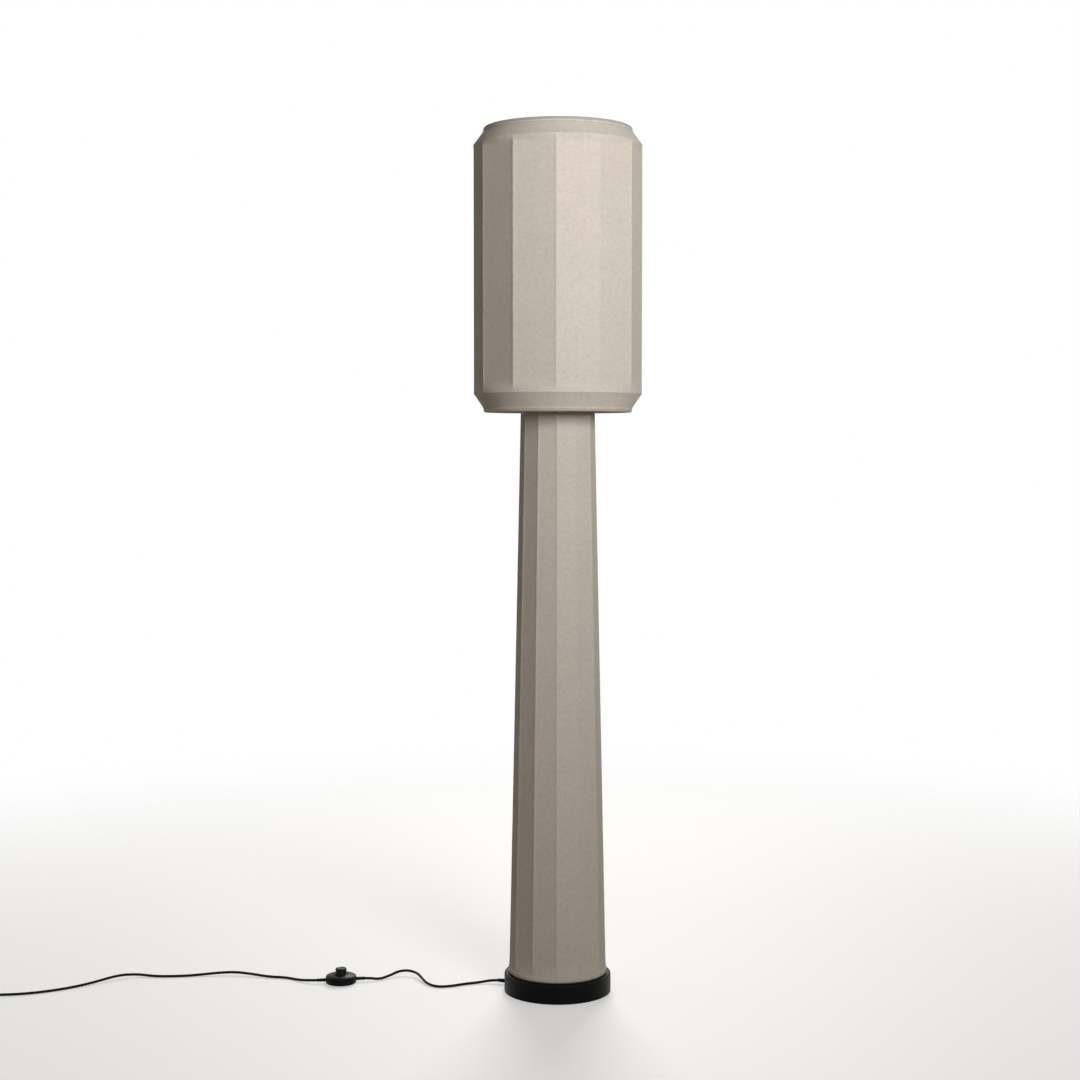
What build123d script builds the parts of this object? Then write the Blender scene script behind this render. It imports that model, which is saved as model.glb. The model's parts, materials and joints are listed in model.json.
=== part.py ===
from build123d import *

import os
from math import ceil, cos, dist, hypot, pi, radians, sin, tan

# Slim floor lamp: a twelve-sided fabric column on a round weighted base, under a twelve-sided fabric shade.
# Millimetres, +Z up, the lamp stands on z = 0 with its axis on Z, and its front looks along -Y.

# Overall size and the twelve corners that the column and the shade share
TOTAL_HEIGHT = 1600.0
SIDES = 12
FRONT_CORNER_TURN = -1.4

# Fabric, wire and the gap left between pieces that touch
FABRIC = 0.8
TRIM = 0.8
RIB_WIRE = 3.0
RING_WIRE = 4.0
HOOP_WIRE = 2.5
TOUCH = 0.1
RIB_BEND = 4.0

# How far a cut runs past the face where it comes out
CUT_PAST = 1.0

# Shade
SHADE_HEIGHT = 519.5
SHADE_CORNER_RADIUS = 155.0
SHADE_RIM_RADIUS = 137.0
SHADE_TOP_BEVEL = 32.0
SHADE_BOTTOM_BEVEL = 34.5
SHADE_TRIM_HEIGHT = 9.5
SHADE_TRIM_TURN_IN = 4.0

# Column
COLUMN_FOOT_STEP = 7.3
COLUMN_FOOT_FLARE = 2.4
COLUMN_TOP_RADIUS = 67.5
COLUMN_TOP_SWELL = 0.8
COLUMN_FLARE_START = 7.0
COLUMN_FLARE_END = 20.0
COLUMN_HEM_HEIGHT = 12.0
COLUMN_TOP_ROUND = 12.5
COLUMN_TOP_TURN_IN = 24.0

# Base
BASE_RADIUS = 99.5
BASE_HEIGHT = 36.0
BASE_SHEET = 1.5
BASE_EDGE_RADIUS = 4.0
BASE_SHADOW_GAP = 0.8
PAD_THICKNESS = 3.0
PAD_SIDE_GAP = 3.5
PAD_HOLE_RADIUS = 24.0
WEIGHT_SIDE_GAP = 3.0
WEIGHT_EDGE = 3.0
WEIGHT_HOLE_GAP = 0.2
CHANNEL_ROOM = 1.0
NUT_RECESS_RADIUS = 20.0
NUT_RECESS_DEPTH = 21.0

# Pole, threaded nipples, bushes and spiders
POLE_RADIUS = 9.0
POLE_WALL = 1.5
UPPER_POLE_LENGTH = 106.0
BUSH_LENGTH = 20.0
NIPPLE_RADIUS = 5.0
NIPPLE_BORE_RADIUS = 3.6
NIPPLE_BITE = 18.0
THREAD_GAP = 0.05
NUT_RADIUS = 8.1
NUT_SIDES = 6
NUT_THICKNESS = 5.0
WASHER_RADIUS = 12.0
WASHER_THICKNESS = 1.5
NIPPLE_TAIL = 1.0
HUB_RADIUS = 14.0
SPIDER_THICKNESS = 2.5
SPIDER_ARM_WIDTH = 10.0
SPIDER_ARMS = 3
WELD_GAP = 0.1
HOOP_END_GAP = 0.3

# Mains lead and the gland where it leaves the base
CORD_DIAMETER = 5.0
CORD_FLOOR_GAP = 0.1
BEND_SHARE = 0.45
EXIT_AZIMUTH = 160.0
EXIT_HEIGHT = 6.5
GLAND_NECK_RADIUS = 4.5
GLAND_FLANGE_RADIUS = 5.7
GLAND_FLANGE = 1.4
GLAND_NOSE_LENGTH = 5.0
GLAND_NOSE_RADIUS = 3.6
GLAND_GAP = 0.1
GLAND_CURVE_ROOM = 0.2
GLAND_SLOT_DEPTH = 9.0
FLEX_BEND = 10.0
FLEX_TAIL = 1.0

# Lampholder
HOLDER_CAP_RADIUS = 19.0
HOLDER_CAP_FOOT_RADIUS = 9.5
HOLDER_CAP_HEIGHT = 22.0
HOLDER_CAP_SHOULDER = 10.0
HOLDER_WALL = 1.8
HOLDER_SKIRT_RADIUS = 20.5
HOLDER_SKIRT_HEIGHT = 40.0
HOLDER_SKIRT_LAP = 6.6
HOLDER_SKIRT_TAPER = 0.9
HOLDER_SKIRT_MOUTH_RADIUS = 15.5
CORE_RADIUS = 15.0
CORE_HEIGHT = 12.0
CORE_FLANGE = 2.0
SCREW_SHELL_RADIUS = 13.9
SCREW_SHELL_WALL = 0.5
SCREW_SHELL_HEIGHT = 20.0
HOLDER_NIPPLE_BITE = 8.0
TERMINAL_RADIUS = 2.0
TERMINAL_SPREAD = 8.0
TERMINAL_HEIGHT = 5.0
CONTACT_STRIP_WIDTH = 5.0
CONTACT_STRIP_THICKNESS = 0.5
CONTACT_STRIP_LENGTH = 16.0
CONTACT_STRIP_FOOT = 3.2
CONTACT_STRIP_RAMP = 2.0
CONTACT_STRIP_RISE = 2.0

# Bulb
BULB_RUNNING_GAP = 0.25
BULB_CAP_HEIGHT = 22.0
BULB_CAP_WALL = 0.4
BULB_INSULATOR_HEIGHT = 3.5
BULB_CONTACT_RADIUS = 5.0
BULB_CONTACT_HEIGHT = 1.5
BULB_GLASS_RADIUS = 30.0
BULB_GLASS_WALL = 1.0
BULB_NECK_RADIUS = 12.6
BULB_NECK_DEPTH = 21.0
BULB_SPHERE_RISE = 41.0
BULB_CONE_LEAN = 30.0

# Foot switch, in line on the lead
SWITCH_X = -411.0
SWITCH_Y = 48.0
SWITCH_TURN = 8.9
SWITCH_RADIUS = 29.0
SWITCH_WALL = 2.0
SWITCH_SEAM_HEIGHT = 10.0
SWITCH_BRIM = 1.5
SWITCH_DOME_HEIGHT = 18.5
SWITCH_COLLAR_RADIUS = 14.5
SWITCH_DOME_BULGE_RADIUS = 25.0
SWITCH_DOME_BULGE_HEIGHT = 16.2
SWITCH_FOOT_CHAMFER = 1.5
BUTTON_RADIUS = 10.5
BUTTON_PRESSED_STAND = 6.0
BUTTON_EDGE = 2.0
BUTTON_TRAVEL = 3.5
BUTTON_GAP = 0.3
BUTTON_FLANGE_RADIUS = 12.5
BUTTON_FLANGE = 2.0
BUTTON_RECESS_RADIUS = 7.5
BUTTON_RECESS_DEPTH = 3.0
SPRING_RADIUS = 5.5
SPRING_WIRE = 0.8
SPRING_TURNS = 4.0
SPRING_WIRE_SIDES = 6
BLOCK_LENGTH = 26.0
BLOCK_WIDTH = 14.0
BLOCK_HEIGHT = 6.0
CONTACT_LENGTH = 9.0
CONTACT_THICKNESS = 0.6
POST_RADIUS = 3.2
POST_SPREAD = 19.0
POST_FOOT_GAP = 0.2
SCREW_RADIUS = 1.4
SCREW_HEAD_RADIUS = 2.7
SCREW_HEAD = 1.2
SCREW_LENGTH = 9.0
RELIEF_RADIUS = 3.6
RELIEF_TIP_RADIUS = 3.0
RELIEF_INNER_END = 22.0
RELIEF_OUTER_END = 33.0
RELIEF_HEIGHT = 6.2
RELIEF_TAPER = 2.0
LEAD_START = 22.0

# Route of the lead as it lies in the photograph, chosen by hand: (x, y, lift above lying flat)
ROUTE_TO_SWITCH = [
    (-152.0, 40.0, 0.2), (-185.0, 20.0, 0.0), (-218.0, 14.0, 0.0), (-245.0, 36.0, 0.0), (-263.0, 71.0, 0.0),
    (-282.0, 99.0, 0.0), (-309.0, 100.0, 0.0), (-330.0, 79.0, 0.0),
]
ROUTE_TO_COIL = [
    (-496.0, 50.0, 0.2), (-538.0, 76.0, 0.0), (-585.0, 96.0, 0.0), (-634.0, 103.0, 0.0), (-685.0, 92.0, 0.0),
    (-739.0, 79.0, 0.0), (-789.0, 86.0, 0.0), (-829.0, 80.0, 0.0), (-863.0, 50.0, 0.0), (-901.0, 13.0, 0.0),
    (-944.0, -18.0, 0.0), (-990.0, -37.0, 0.0), (-1038.0, -43.0, 0.0),
]

# Coil of the length that is put away, and the plug at its end
COIL_X = -1090.0
COIL_Y = -78.0
COIL_OUTER_RADIUS = 35.0
COIL_PITCH = 6.7
COIL_LAYER_STEP = 5.5
COIL_HALF_TURNS_IN = 5
COIL_HALF_TURNS_OUT = 6
COIL_TAIL = 10.0
PLUG_TAIL_RADIUS = 3.2
PLUG_TAIL_END_RADIUS = 4.6
PLUG_TAIL_LENGTH = 22.0
PLUG_GRIP_LENGTH = 16.0
PLUG_FACE_LENGTH = 16.0
PLUG_WIDTH = 35.3
PLUG_HEIGHT = 13.7
PLUG_GRIP_WIDTH = 27.0
PLUG_GRIP_HEIGHT = 16.0
PLUG_GRIP_CREST = 8.0
PLUG_SHOULDER = 6.0
PLUG_CORNER_SHARE = 0.4
PLUG_LAP = 1.0
PIN_SPACING = 18.6
PIN_RADIUS = 2.0
PIN_LENGTH = 19.0
PIN_SLEEVE_LENGTH = 10.0
PIN_CORE_RADIUS = 1.5
PIN_ROOT = 8.0
PIN_TIP = 0.7

# Heights and radii that follow from the driving sizes
STEP_ANGLE = 360.0 / SIDES
HALF_STEP = radians(STEP_ANGLE / 2.0)
SHADE_BOTTOM = TOTAL_HEIGHT - SHADE_HEIGHT
SHADE_TOP_CORNER = TOTAL_HEIGHT - SHADE_TOP_BEVEL
SHADE_BOTTOM_CORNER = SHADE_BOTTOM + SHADE_BOTTOM_BEVEL
FABRIC_OUTER_RIM = SHADE_RIM_RADIUS - TRIM - TOUCH
HOOP_INSET = FABRIC + TOUCH + HOOP_WIRE / 2.0
WEIGHT_RADIUS = BASE_RADIUS - BASE_SHEET - WEIGHT_SIDE_GAP
PAD_RADIUS = BASE_RADIUS - BASE_SHEET - PAD_SIDE_GAP
COLUMN_FOOT_RADIUS = BASE_RADIUS - COLUMN_FOOT_STEP
COLUMN_LOWER_CORNER_RADIUS = COLUMN_FOOT_RADIUS - COLUMN_FOOT_FLARE
COLUMN_UPPER_CORNER_RADIUS = COLUMN_TOP_RADIUS + COLUMN_TOP_SWELL


def hoop_rise(bevel):
    """How far a hoop lies from the fold, so that it clears the side panel and the bevel alike."""
    run = SHADE_CORNER_RADIUS - FABRIC_OUTER_RIM
    fall = bevel - SHADE_TRIM_HEIGHT
    return HOOP_INSET * (hypot(run, fall) - fall) / run + TOUCH


SHADE_SPIDER_Z = SHADE_BOTTOM_CORNER + hoop_rise(SHADE_BOTTOM_BEVEL) + HOOP_WIRE / 2.0 + TOUCH
COLUMN_SPIDER_Z = SHADE_SPIDER_Z - SPIDER_THICKNESS
COLUMN_TOP = COLUMN_SPIDER_Z - TOUCH
COLUMN_BOTTOM = BASE_HEIGHT + TOUCH
POLE_FOOT = BASE_HEIGHT + SPIDER_THICKNESS
UPPER_POLE_FOOT = SHADE_SPIDER_Z + SPIDER_THICKNESS
POLE_TOP = UPPER_POLE_FOOT + UPPER_POLE_LENGTH
FLOOR_CENTRE = CORD_DIAMETER / 2.0 + CORD_FLOOR_GAP


def turned(points):
    """A solid turned round the Z axis from a closed outline of (radius, height) points."""
    outline = make_face(Polyline(*points, close=True))
    return revolve(Plane.XZ * outline, axis=Axis.Z)


def tube(outer_radius, inner_radius, low, high):
    """A plain tube or thick washer on the Z axis, from one height to the other."""
    return turned([(inner_radius, low), (outer_radius, low), (outer_radius, high), (inner_radius, high)])


def disc(radius, low, high):
    """A plain round disc on the Z axis."""
    return Pos(0, 0, low) * Cylinder(radius, high - low, align=(Align.CENTER, Align.CENTER, Align.MIN))


def ring(centre_radius, wire, height):
    """A round ring bent from wire."""
    return Pos(0, 0, height) * Torus(centre_radius, wire / 2.0)


def corner_azimuth(index):
    return -90.0 + FRONT_CORNER_TURN + STEP_ANGLE * index


def around(radius, azimuth, height):
    return Vector(radius * cos(radians(azimuth)), radius * sin(radians(azimuth)), height)


def at_corners(piece, count=SIDES, first=0):
    """Copies a piece that is modelled at azimuth 0 to corners spread evenly round the lamp."""
    stride = SIDES // count
    return [Rot(0, 0, corner_azimuth(first + stride * index)) * piece for index in range(count)]


def cornered_wire(radius, height):
    points = [around(radius, corner_azimuth(index), height) for index in range(SIDES)]
    return Polyline(*points, close=True).wire()


def round_wire(radius, height):
    """A circle in as many arcs as there are corners, so that a loft runs corner to corner."""
    arcs = []
    for index in range(SIDES):
        start = around(radius, corner_azimuth(index), height)
        middle = around(radius, corner_azimuth(index + 0.5), height)
        end = around(radius, corner_azimuth(index + 1), height)
        arcs.append(Edge.make_three_point_arc(start, middle, end))
    return Wire(arcs)


def inset(profile, distance):
    """Moves an outline of (radius, height, form) points, from the bottom up, towards the lamp's axis."""
    lines = []
    for (r0, z0, _), (r1, z1, _) in zip(profile, profile[1:]):
        length = hypot(r1 - r0, z1 - z0)
        along = ((r1 - r0) / length, (z1 - z0) / length)
        lines.append((r0 - along[1] * distance, z0 + along[0] * distance, along))
    moved = [(lines[0][0], lines[0][1], profile[0][2])]
    for (r0, z0, a), (r1, z1, b), point in zip(lines, lines[1:], profile[1:-1]):
        cross = a[0] * b[1] - a[1] * b[0]
        reach = ((r1 - r0) * b[1] - (z1 - z0) * b[0]) / cross
        moved.append((r0 + a[0] * reach, z0 + a[1] * reach, point[2]))
    last = lines[-1]
    span = hypot(profile[-1][0] - profile[-2][0], profile[-1][1] - profile[-2][1])
    moved.append((last[0] + last[2][0] * span, last[1] + last[2][1] * span, profile[-1][2]))
    return moved


def stretched(profile, end_growth=0.0):
    """The solid inside a skin whose outline goes from a round ring to corners and back to a round ring."""
    wires = []
    for index, (radius, height, form) in enumerate(profile):
        if index == 0:
            height -= end_growth
        if index == len(profile) - 1:
            height += end_growth
        wires.append(round_wire(radius, height) if form == "round" else cornered_wire(radius, height))
    return Solid.make_loft(wires, ruled=True)


def skin(profile):
    """Fabric stretched over the frame, as thick as the fabric on its flat panels."""
    inner = inset(profile, FABRIC / cos(HALF_STEP))
    return stretched(profile) - stretched(inner, end_growth=FABRIC)


def bent_wire(points, wire, bend):
    """A wire bent in the XZ plane along (radius, height) points."""
    path = Plane.XZ * FilletPolyline(*points, radius=bend)
    return sweep(Plane(path @ 0, z_dir=path % 0) * Circle(wire / 2.0), path=path)


def ribs(profile, low_ring, high_ring):
    """One rib in each corner, inside the fabric, from the lower ring up to the upper ring."""
    line = inset(profile, (FABRIC + TOUCH + RIB_WIRE / 2.0) / cos(HALF_STEP))
    points = [(radius, height) for radius, height, _ in line]
    points[0] = (points[0][0], low_ring + RING_WIRE / 2.0 + WELD_GAP)
    points[-1] = (points[-1][0], high_ring - RING_WIRE / 2.0 - WELD_GAP)
    return at_corners(bent_wire(points, RIB_WIRE, RIB_BEND))


def ring_centre_radius(rim_radius):
    """A ring lies inside the fabric, and the trim lies outside both."""
    return rim_radius - TRIM - TOUCH - FABRIC - TOUCH - RING_WIRE / 2.0


def ring_centre_inset():
    """How far a ring's centre lies from the edge of the trim that closes over it."""
    return TRIM + TOUCH + RING_WIRE / 2.0


def trim_band(rim_radius, edge, height, turn_in, upward):
    """A bound edge: a band outside the fabric, folded over the ring and turned in behind it."""
    side = 1.0 if upward else -1.0
    inner = ring_centre_radius(rim_radius) - RING_WIRE / 2.0 - TOUCH
    lip = edge + side * TRIM
    points = [
        (rim_radius, edge),
        (rim_radius, edge + side * height),
        (rim_radius - TRIM, edge + side * height),
        (rim_radius - TRIM, lip),
    ]
    if turn_in > 0.0:
        points += [
            (inner, lip),
            (inner, edge + side * turn_in),
            (inner - TRIM, edge + side * turn_in),
            (inner - TRIM, edge),
        ]
    else:
        points += [(inner, lip), (inner, edge)]
    return turned(points)


def spider(height, reach, first_corner):
    """A pressed spider: a hub that is clamped on the pole and flat arms out to the frame."""
    hub = disc(HUB_RADIUS, height, height + SPIDER_THICKNESS)
    arm_length = reach - HUB_RADIUS / 2.0
    arm = Pos(reach - arm_length / 2.0, 0, height + SPIDER_THICKNESS / 2.0) * Box(
        arm_length, SPIDER_ARM_WIDTH, SPIDER_THICKNESS
    )
    body = hub.fuse(*at_corners(arm, SPIDER_ARMS, first_corner)).clean()
    hole = disc(NIPPLE_RADIUS + THREAD_GAP, height - CUT_PAST, height + SPIDER_THICKNESS + CUT_PAST)
    return body - hole


# Shade

def shade_profile():
    """The fabric's outer line at a corner, from the lower ring up to the upper ring."""
    return [
        (FABRIC_OUTER_RIM, SHADE_BOTTOM + ring_centre_inset(), "round"),
        (FABRIC_OUTER_RIM, SHADE_BOTTOM + SHADE_TRIM_HEIGHT, "round"),
        (SHADE_CORNER_RADIUS, SHADE_BOTTOM_CORNER, "cornered"),
        (SHADE_CORNER_RADIUS, SHADE_TOP_CORNER, "cornered"),
        (FABRIC_OUTER_RIM, TOTAL_HEIGHT - SHADE_TRIM_HEIGHT, "round"),
        (FABRIC_OUTER_RIM, TOTAL_HEIGHT - ring_centre_inset(), "round"),
    ]


def hoop(corner_height, rise):
    """Straight wires between the ribs, under the fold from the side panels to a bevel."""
    flat_radius = SHADE_CORNER_RADIUS * cos(HALF_STEP) - HOOP_INSET
    rib_radius = SHADE_CORNER_RADIUS - (FABRIC + TOUCH + RIB_WIRE / 2.0) / cos(HALF_STEP)
    half_length = rib_radius * sin(HALF_STEP) - RIB_WIRE / 2.0 - HOOP_END_GAP
    rod = Rot(90, 0, 0) * Cylinder(HOOP_WIRE / 2.0, 2.0 * half_length)
    rod = Pos(flat_radius, 0, corner_height + rise) * rod
    return [Rot(0, 0, corner_azimuth(index + 0.5)) * rod for index in range(SIDES)]


def make_shade():
    profile = shade_profile()
    ring_radius = ring_centre_radius(SHADE_RIM_RADIUS)
    low_ring = SHADE_BOTTOM + ring_centre_inset()
    high_ring = TOTAL_HEIGHT - ring_centre_inset()
    rib_inner = SHADE_CORNER_RADIUS - (FABRIC + TOUCH + RIB_WIRE / 2.0) / cos(HALF_STEP) - RIB_WIRE / 2.0
    return {
        "shade_cover": skin(profile),
        "shade_ribs": ribs(profile, low_ring, high_ring),
        "shade_top_ring": ring(ring_radius, RING_WIRE, high_ring),
        "shade_bottom_ring": ring(ring_radius, RING_WIRE, low_ring),
        "shade_upper_hoop": hoop(SHADE_TOP_CORNER, -hoop_rise(SHADE_TOP_BEVEL)),
        "shade_lower_hoop": hoop(SHADE_BOTTOM_CORNER, hoop_rise(SHADE_BOTTOM_BEVEL)),
        "shade_spider": spider(SHADE_SPIDER_Z, rib_inner - WELD_GAP, 0),
        "shade_top_trim": trim_band(
            SHADE_RIM_RADIUS, TOTAL_HEIGHT, SHADE_TRIM_HEIGHT, SHADE_TRIM_TURN_IN, upward=False
        ),
        "shade_bottom_trim": trim_band(
            SHADE_RIM_RADIUS, SHADE_BOTTOM, SHADE_TRIM_HEIGHT, SHADE_TRIM_TURN_IN, upward=True
        ),
    }


# Column

def column_profile():
    """The fabric's outer line at a corner: round at the foot, flared, straight taper, round at the top."""
    foot_radius = COLUMN_FOOT_RADIUS - TRIM - TOUCH
    top_radius = COLUMN_TOP_RADIUS - TRIM - TOUCH
    return [
        (foot_radius, COLUMN_BOTTOM + ring_centre_inset(), "round"),
        (foot_radius, COLUMN_BOTTOM + COLUMN_FLARE_START, "round"),
        (COLUMN_LOWER_CORNER_RADIUS, COLUMN_BOTTOM + COLUMN_FLARE_END, "cornered"),
        (COLUMN_UPPER_CORNER_RADIUS, COLUMN_TOP - COLUMN_TOP_TURN_IN, "cornered"),
        (top_radius, COLUMN_TOP - COLUMN_TOP_ROUND, "round"),
        (top_radius, COLUMN_TOP - ring_centre_inset(), "round"),
    ]


def make_column():
    profile = column_profile()
    low_ring = COLUMN_BOTTOM + ring_centre_inset()
    high_ring = COLUMN_TOP - ring_centre_inset()
    foot_ring_radius = ring_centre_radius(COLUMN_FOOT_RADIUS)
    top_ring_radius = ring_centre_radius(COLUMN_TOP_RADIUS)
    return {
        "column_cover": skin(profile),
        "column_ribs": ribs(profile, low_ring, high_ring),
        "column_foot_ring": ring(foot_ring_radius, RING_WIRE, low_ring),
        "column_top_ring": ring(top_ring_radius, RING_WIRE, high_ring),
        "column_foot_spider": spider(BASE_HEIGHT, foot_ring_radius - RING_WIRE / 2.0 - TRIM, 1),
        "column_top_spider": spider(COLUMN_SPIDER_Z, top_ring_radius + RING_WIRE / 2.0, 1),
        "column_foot_hem": trim_band(
            COLUMN_FOOT_RADIUS, COLUMN_BOTTOM, COLUMN_HEM_HEIGHT, 0.0, upward=True
        ),
        "column_top_hem": trim_band(COLUMN_TOP_RADIUS, COLUMN_TOP, COLUMN_HEM_HEIGHT, 0.0, upward=False),
    }


# Base

def exit_plane(distance):
    """The plane square to the lead where it leaves the base, at a distance from the lamp's axis."""
    outward = around(1.0, EXIT_AZIMUTH, 0.0)
    return Plane(origin=around(distance, EXIT_AZIMUTH, EXIT_HEIGHT), x_dir=(0, 0, 1), z_dir=outward)


def shell_of_revolution(radius, low, high, edge):
    """A round block with its upper edge rounded."""
    block = disc(radius, low, high)
    return fillet(block.edges().group_by(Axis.Z)[-1], edge)


def make_base_cover():
    outer = shell_of_revolution(BASE_RADIUS, BASE_SHADOW_GAP, BASE_HEIGHT, BASE_EDGE_RADIUS)
    inner_edge = BASE_EDGE_RADIUS - BASE_SHEET
    inner_top = BASE_HEIGHT - BASE_SHEET
    inner = shell_of_revolution(BASE_RADIUS - BASE_SHEET, BASE_SHADOW_GAP - CUT_PAST, inner_top, inner_edge)
    hole = disc(NIPPLE_RADIUS + THREAD_GAP, inner_top - CUT_PAST, BASE_HEIGHT + CUT_PAST)
    slot_radius = GLAND_NECK_RADIUS + GLAND_GAP
    slot_round = exit_plane(BASE_RADIUS) * Cylinder(slot_radius, GLAND_SLOT_DEPTH)
    slot_down = exit_plane(BASE_RADIUS) * (
        Pos(-EXIT_HEIGHT / 2.0, 0, 0) * Box(EXIT_HEIGHT, 2.0 * slot_radius, GLAND_SLOT_DEPTH)
    )
    return outer - inner - hole - slot_round - slot_down


def weight_top():
    return BASE_HEIGHT - BASE_SHEET - TOUCH


def recess_top():
    return PAD_THICKNESS + NUT_RECESS_DEPTH


def make_base_weight():
    block = disc(WEIGHT_RADIUS, PAD_THICKNESS, weight_top())
    block = chamfer(block.edges().group_by(Axis.Z)[-1], WEIGHT_EDGE)
    recess = disc(NUT_RECESS_RADIUS, PAD_THICKNESS - CUT_PAST, recess_top())
    hole = disc(NIPPLE_RADIUS + WEIGHT_HOLE_GAP, PAD_THICKNESS, weight_top() + CUT_PAST)
    channel_width = CORD_DIAMETER + 2.0 * CHANNEL_ROOM
    channel_top = EXIT_HEIGHT + channel_width / 2.0
    channel = Rot(0, 0, EXIT_AZIMUTH) * Pos(WEIGHT_RADIUS / 2.0, 0, channel_top / 2.0) * Box(
        WEIGHT_RADIUS + 2.0 * CUT_PAST, channel_width, channel_top
    )
    return block - recess - hole - channel


def make_gland():
    """Moulded gland: a nose outside, a flange each side of the sheet, and the lead through its bore."""
    bore = CORD_DIAMETER / 2.0 + THREAD_GAP
    outer_face = GLAND_GAP
    inner_face = -BASE_SHEET - GLAND_GAP - GLAND_CURVE_ROOM
    neck = GLAND_NECK_RADIUS
    flange = GLAND_FLANGE_RADIUS
    nose_start = outer_face + GLAND_FLANGE
    piece = turned([
        (bore, inner_face - GLAND_FLANGE), (flange, inner_face - GLAND_FLANGE), (flange, inner_face),
        (neck, inner_face), (neck, outer_face), (flange, outer_face), (flange, nose_start),
        (neck, nose_start), (GLAND_NOSE_RADIUS, nose_start + GLAND_NOSE_LENGTH),
        (bore, nose_start + GLAND_NOSE_LENGTH),
    ])
    return exit_plane(BASE_RADIUS) * piece


def gland_face_distance():
    return BASE_RADIUS + GLAND_GAP + GLAND_FLANGE + GLAND_NOSE_LENGTH


def make_inner_flex():
    """The lead inside the lamp: through the gland, along the channel, and up the pole to the lampholder."""
    top = POLE_TOP + HOLDER_NIPPLE_BITE + FLEX_TAIL
    path = FilletPolyline(
        around(gland_face_distance(), EXIT_AZIMUTH, EXIT_HEIGHT),
        Vector(0, 0, EXIT_HEIGHT),
        Vector(0, 0, top),
        radius=FLEX_BEND,
    )
    return sweep(Plane(path @ 0, z_dir=path % 0) * Circle(CORD_DIAMETER / 2.0), path=path)


def hexagon_nut(low, high):
    nut = extrude(Plane.XY.offset(low) * RegularPolygon(NUT_RADIUS, NUT_SIDES), high - low)
    return nut - disc(NIPPLE_RADIUS + THREAD_GAP, low - CUT_PAST, high + CUT_PAST)


def nipple(low, high):
    """A hollow threaded tube, plain here, that the lead passes through."""
    return tube(NIPPLE_RADIUS, NIPPLE_BORE_RADIUS, low, high)


def make_base():
    washer_low = recess_top() - WASHER_THICKNESS
    nut_low = washer_low - NUT_THICKNESS
    return {
        "base_cover": make_base_cover(),
        "base_weight": make_base_weight(),
        "base_pad": tube(PAD_RADIUS, PAD_HOLE_RADIUS, 0.0, PAD_THICKNESS),
        "base_gland": make_gland(),
        "foot_nipple": nipple(nut_low - NIPPLE_TAIL, POLE_FOOT + NIPPLE_BITE),
        "foot_washer": tube(WASHER_RADIUS, NIPPLE_RADIUS + THREAD_GAP, washer_low, recess_top()),
        "foot_nut": hexagon_nut(nut_low, washer_low),
        "inner_flex": make_inner_flex(),
    }


# Pole

def make_pole():
    inner = POLE_RADIUS - POLE_WALL
    bush_radius = inner - THREAD_GAP
    bush_bore = NIPPLE_RADIUS + THREAD_GAP
    bush_feet = [
        POLE_FOOT,
        COLUMN_SPIDER_Z - BUSH_LENGTH,
        UPPER_POLE_FOOT,
        POLE_TOP - BUSH_LENGTH,
    ]
    return {
        "pole_lower": tube(POLE_RADIUS, inner, POLE_FOOT, COLUMN_SPIDER_Z),
        "pole_upper": tube(POLE_RADIUS, inner, UPPER_POLE_FOOT, POLE_TOP),
        "pole_bushes": [tube(bush_radius, bush_bore, foot, foot + BUSH_LENGTH) for foot in bush_feet],
        "joint_nipple": nipple(COLUMN_SPIDER_Z - NIPPLE_BITE, UPPER_POLE_FOOT + NIPPLE_BITE),
        "holder_nipple": nipple(POLE_TOP - NIPPLE_BITE, POLE_TOP + HOLDER_NIPPLE_BITE),
    }


# Lampholder and bulb

def holder_floor():
    """Height of the core's seat, on the rim of the lampholder's cap."""
    return POLE_TOP + HOLDER_CAP_HEIGHT


def bulb_contact_low():
    """The bulb's contact rests on the raised middle of the lampholder's contact strip."""
    return holder_floor() + CORE_HEIGHT + CONTACT_STRIP_RISE + CONTACT_STRIP_THICKNESS + TOUCH


def make_holder_cap():
    low = POLE_TOP
    high = holder_floor()
    shoulder = low + HOLDER_CAP_SHOULDER
    bore = NIPPLE_RADIUS + THREAD_GAP
    wall = HOLDER_WALL
    return turned([
        (bore, low), (HOLDER_CAP_FOOT_RADIUS, low), (HOLDER_CAP_RADIUS, shoulder), (HOLDER_CAP_RADIUS, high),
        (HOLDER_CAP_RADIUS - wall, high), (HOLDER_CAP_RADIUS - wall, shoulder + wall),
        (HOLDER_CAP_FOOT_RADIUS, low + HOLDER_NIPPLE_BITE), (bore, low + HOLDER_NIPPLE_BITE),
    ])


def make_holder_skirt():
    """The outer shell: it screws over the cap's rim and narrows a little at its mouth."""
    low = holder_floor() - HOLDER_SKIRT_LAP
    seat = holder_floor() + CORE_FLANGE + TOUCH
    high = low + HOLDER_SKIRT_HEIGHT
    outer = HOLDER_SKIRT_RADIUS
    inner = HOLDER_CAP_RADIUS + TOUCH
    mouth_low = high - HOLDER_WALL
    return turned([
        (inner, low), (outer, low), (outer, seat), (outer - HOLDER_SKIRT_TAPER, high),
        (HOLDER_SKIRT_MOUTH_RADIUS, high), (HOLDER_SKIRT_MOUTH_RADIUS, mouth_low),
        (inner - HOLDER_SKIRT_TAPER, mouth_low), (inner, seat),
    ])


def make_holder_core():
    """The insulating block that carries the contacts, seated on the cap's rim by its flange."""
    low = holder_floor()
    flange_radius = HOLDER_CAP_RADIUS - TOUCH
    body = disc(CORE_RADIUS, low, low + CORE_HEIGHT)
    body += disc(flange_radius, low, low + CORE_FLANGE)
    hole = disc(TERMINAL_RADIUS + TOUCH, low - CUT_PAST, low + TERMINAL_HEIGHT)
    for side in (-1.0, 1.0):
        body -= Pos(side * TERMINAL_SPREAD, 0, 0) * hole
    return body


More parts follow.
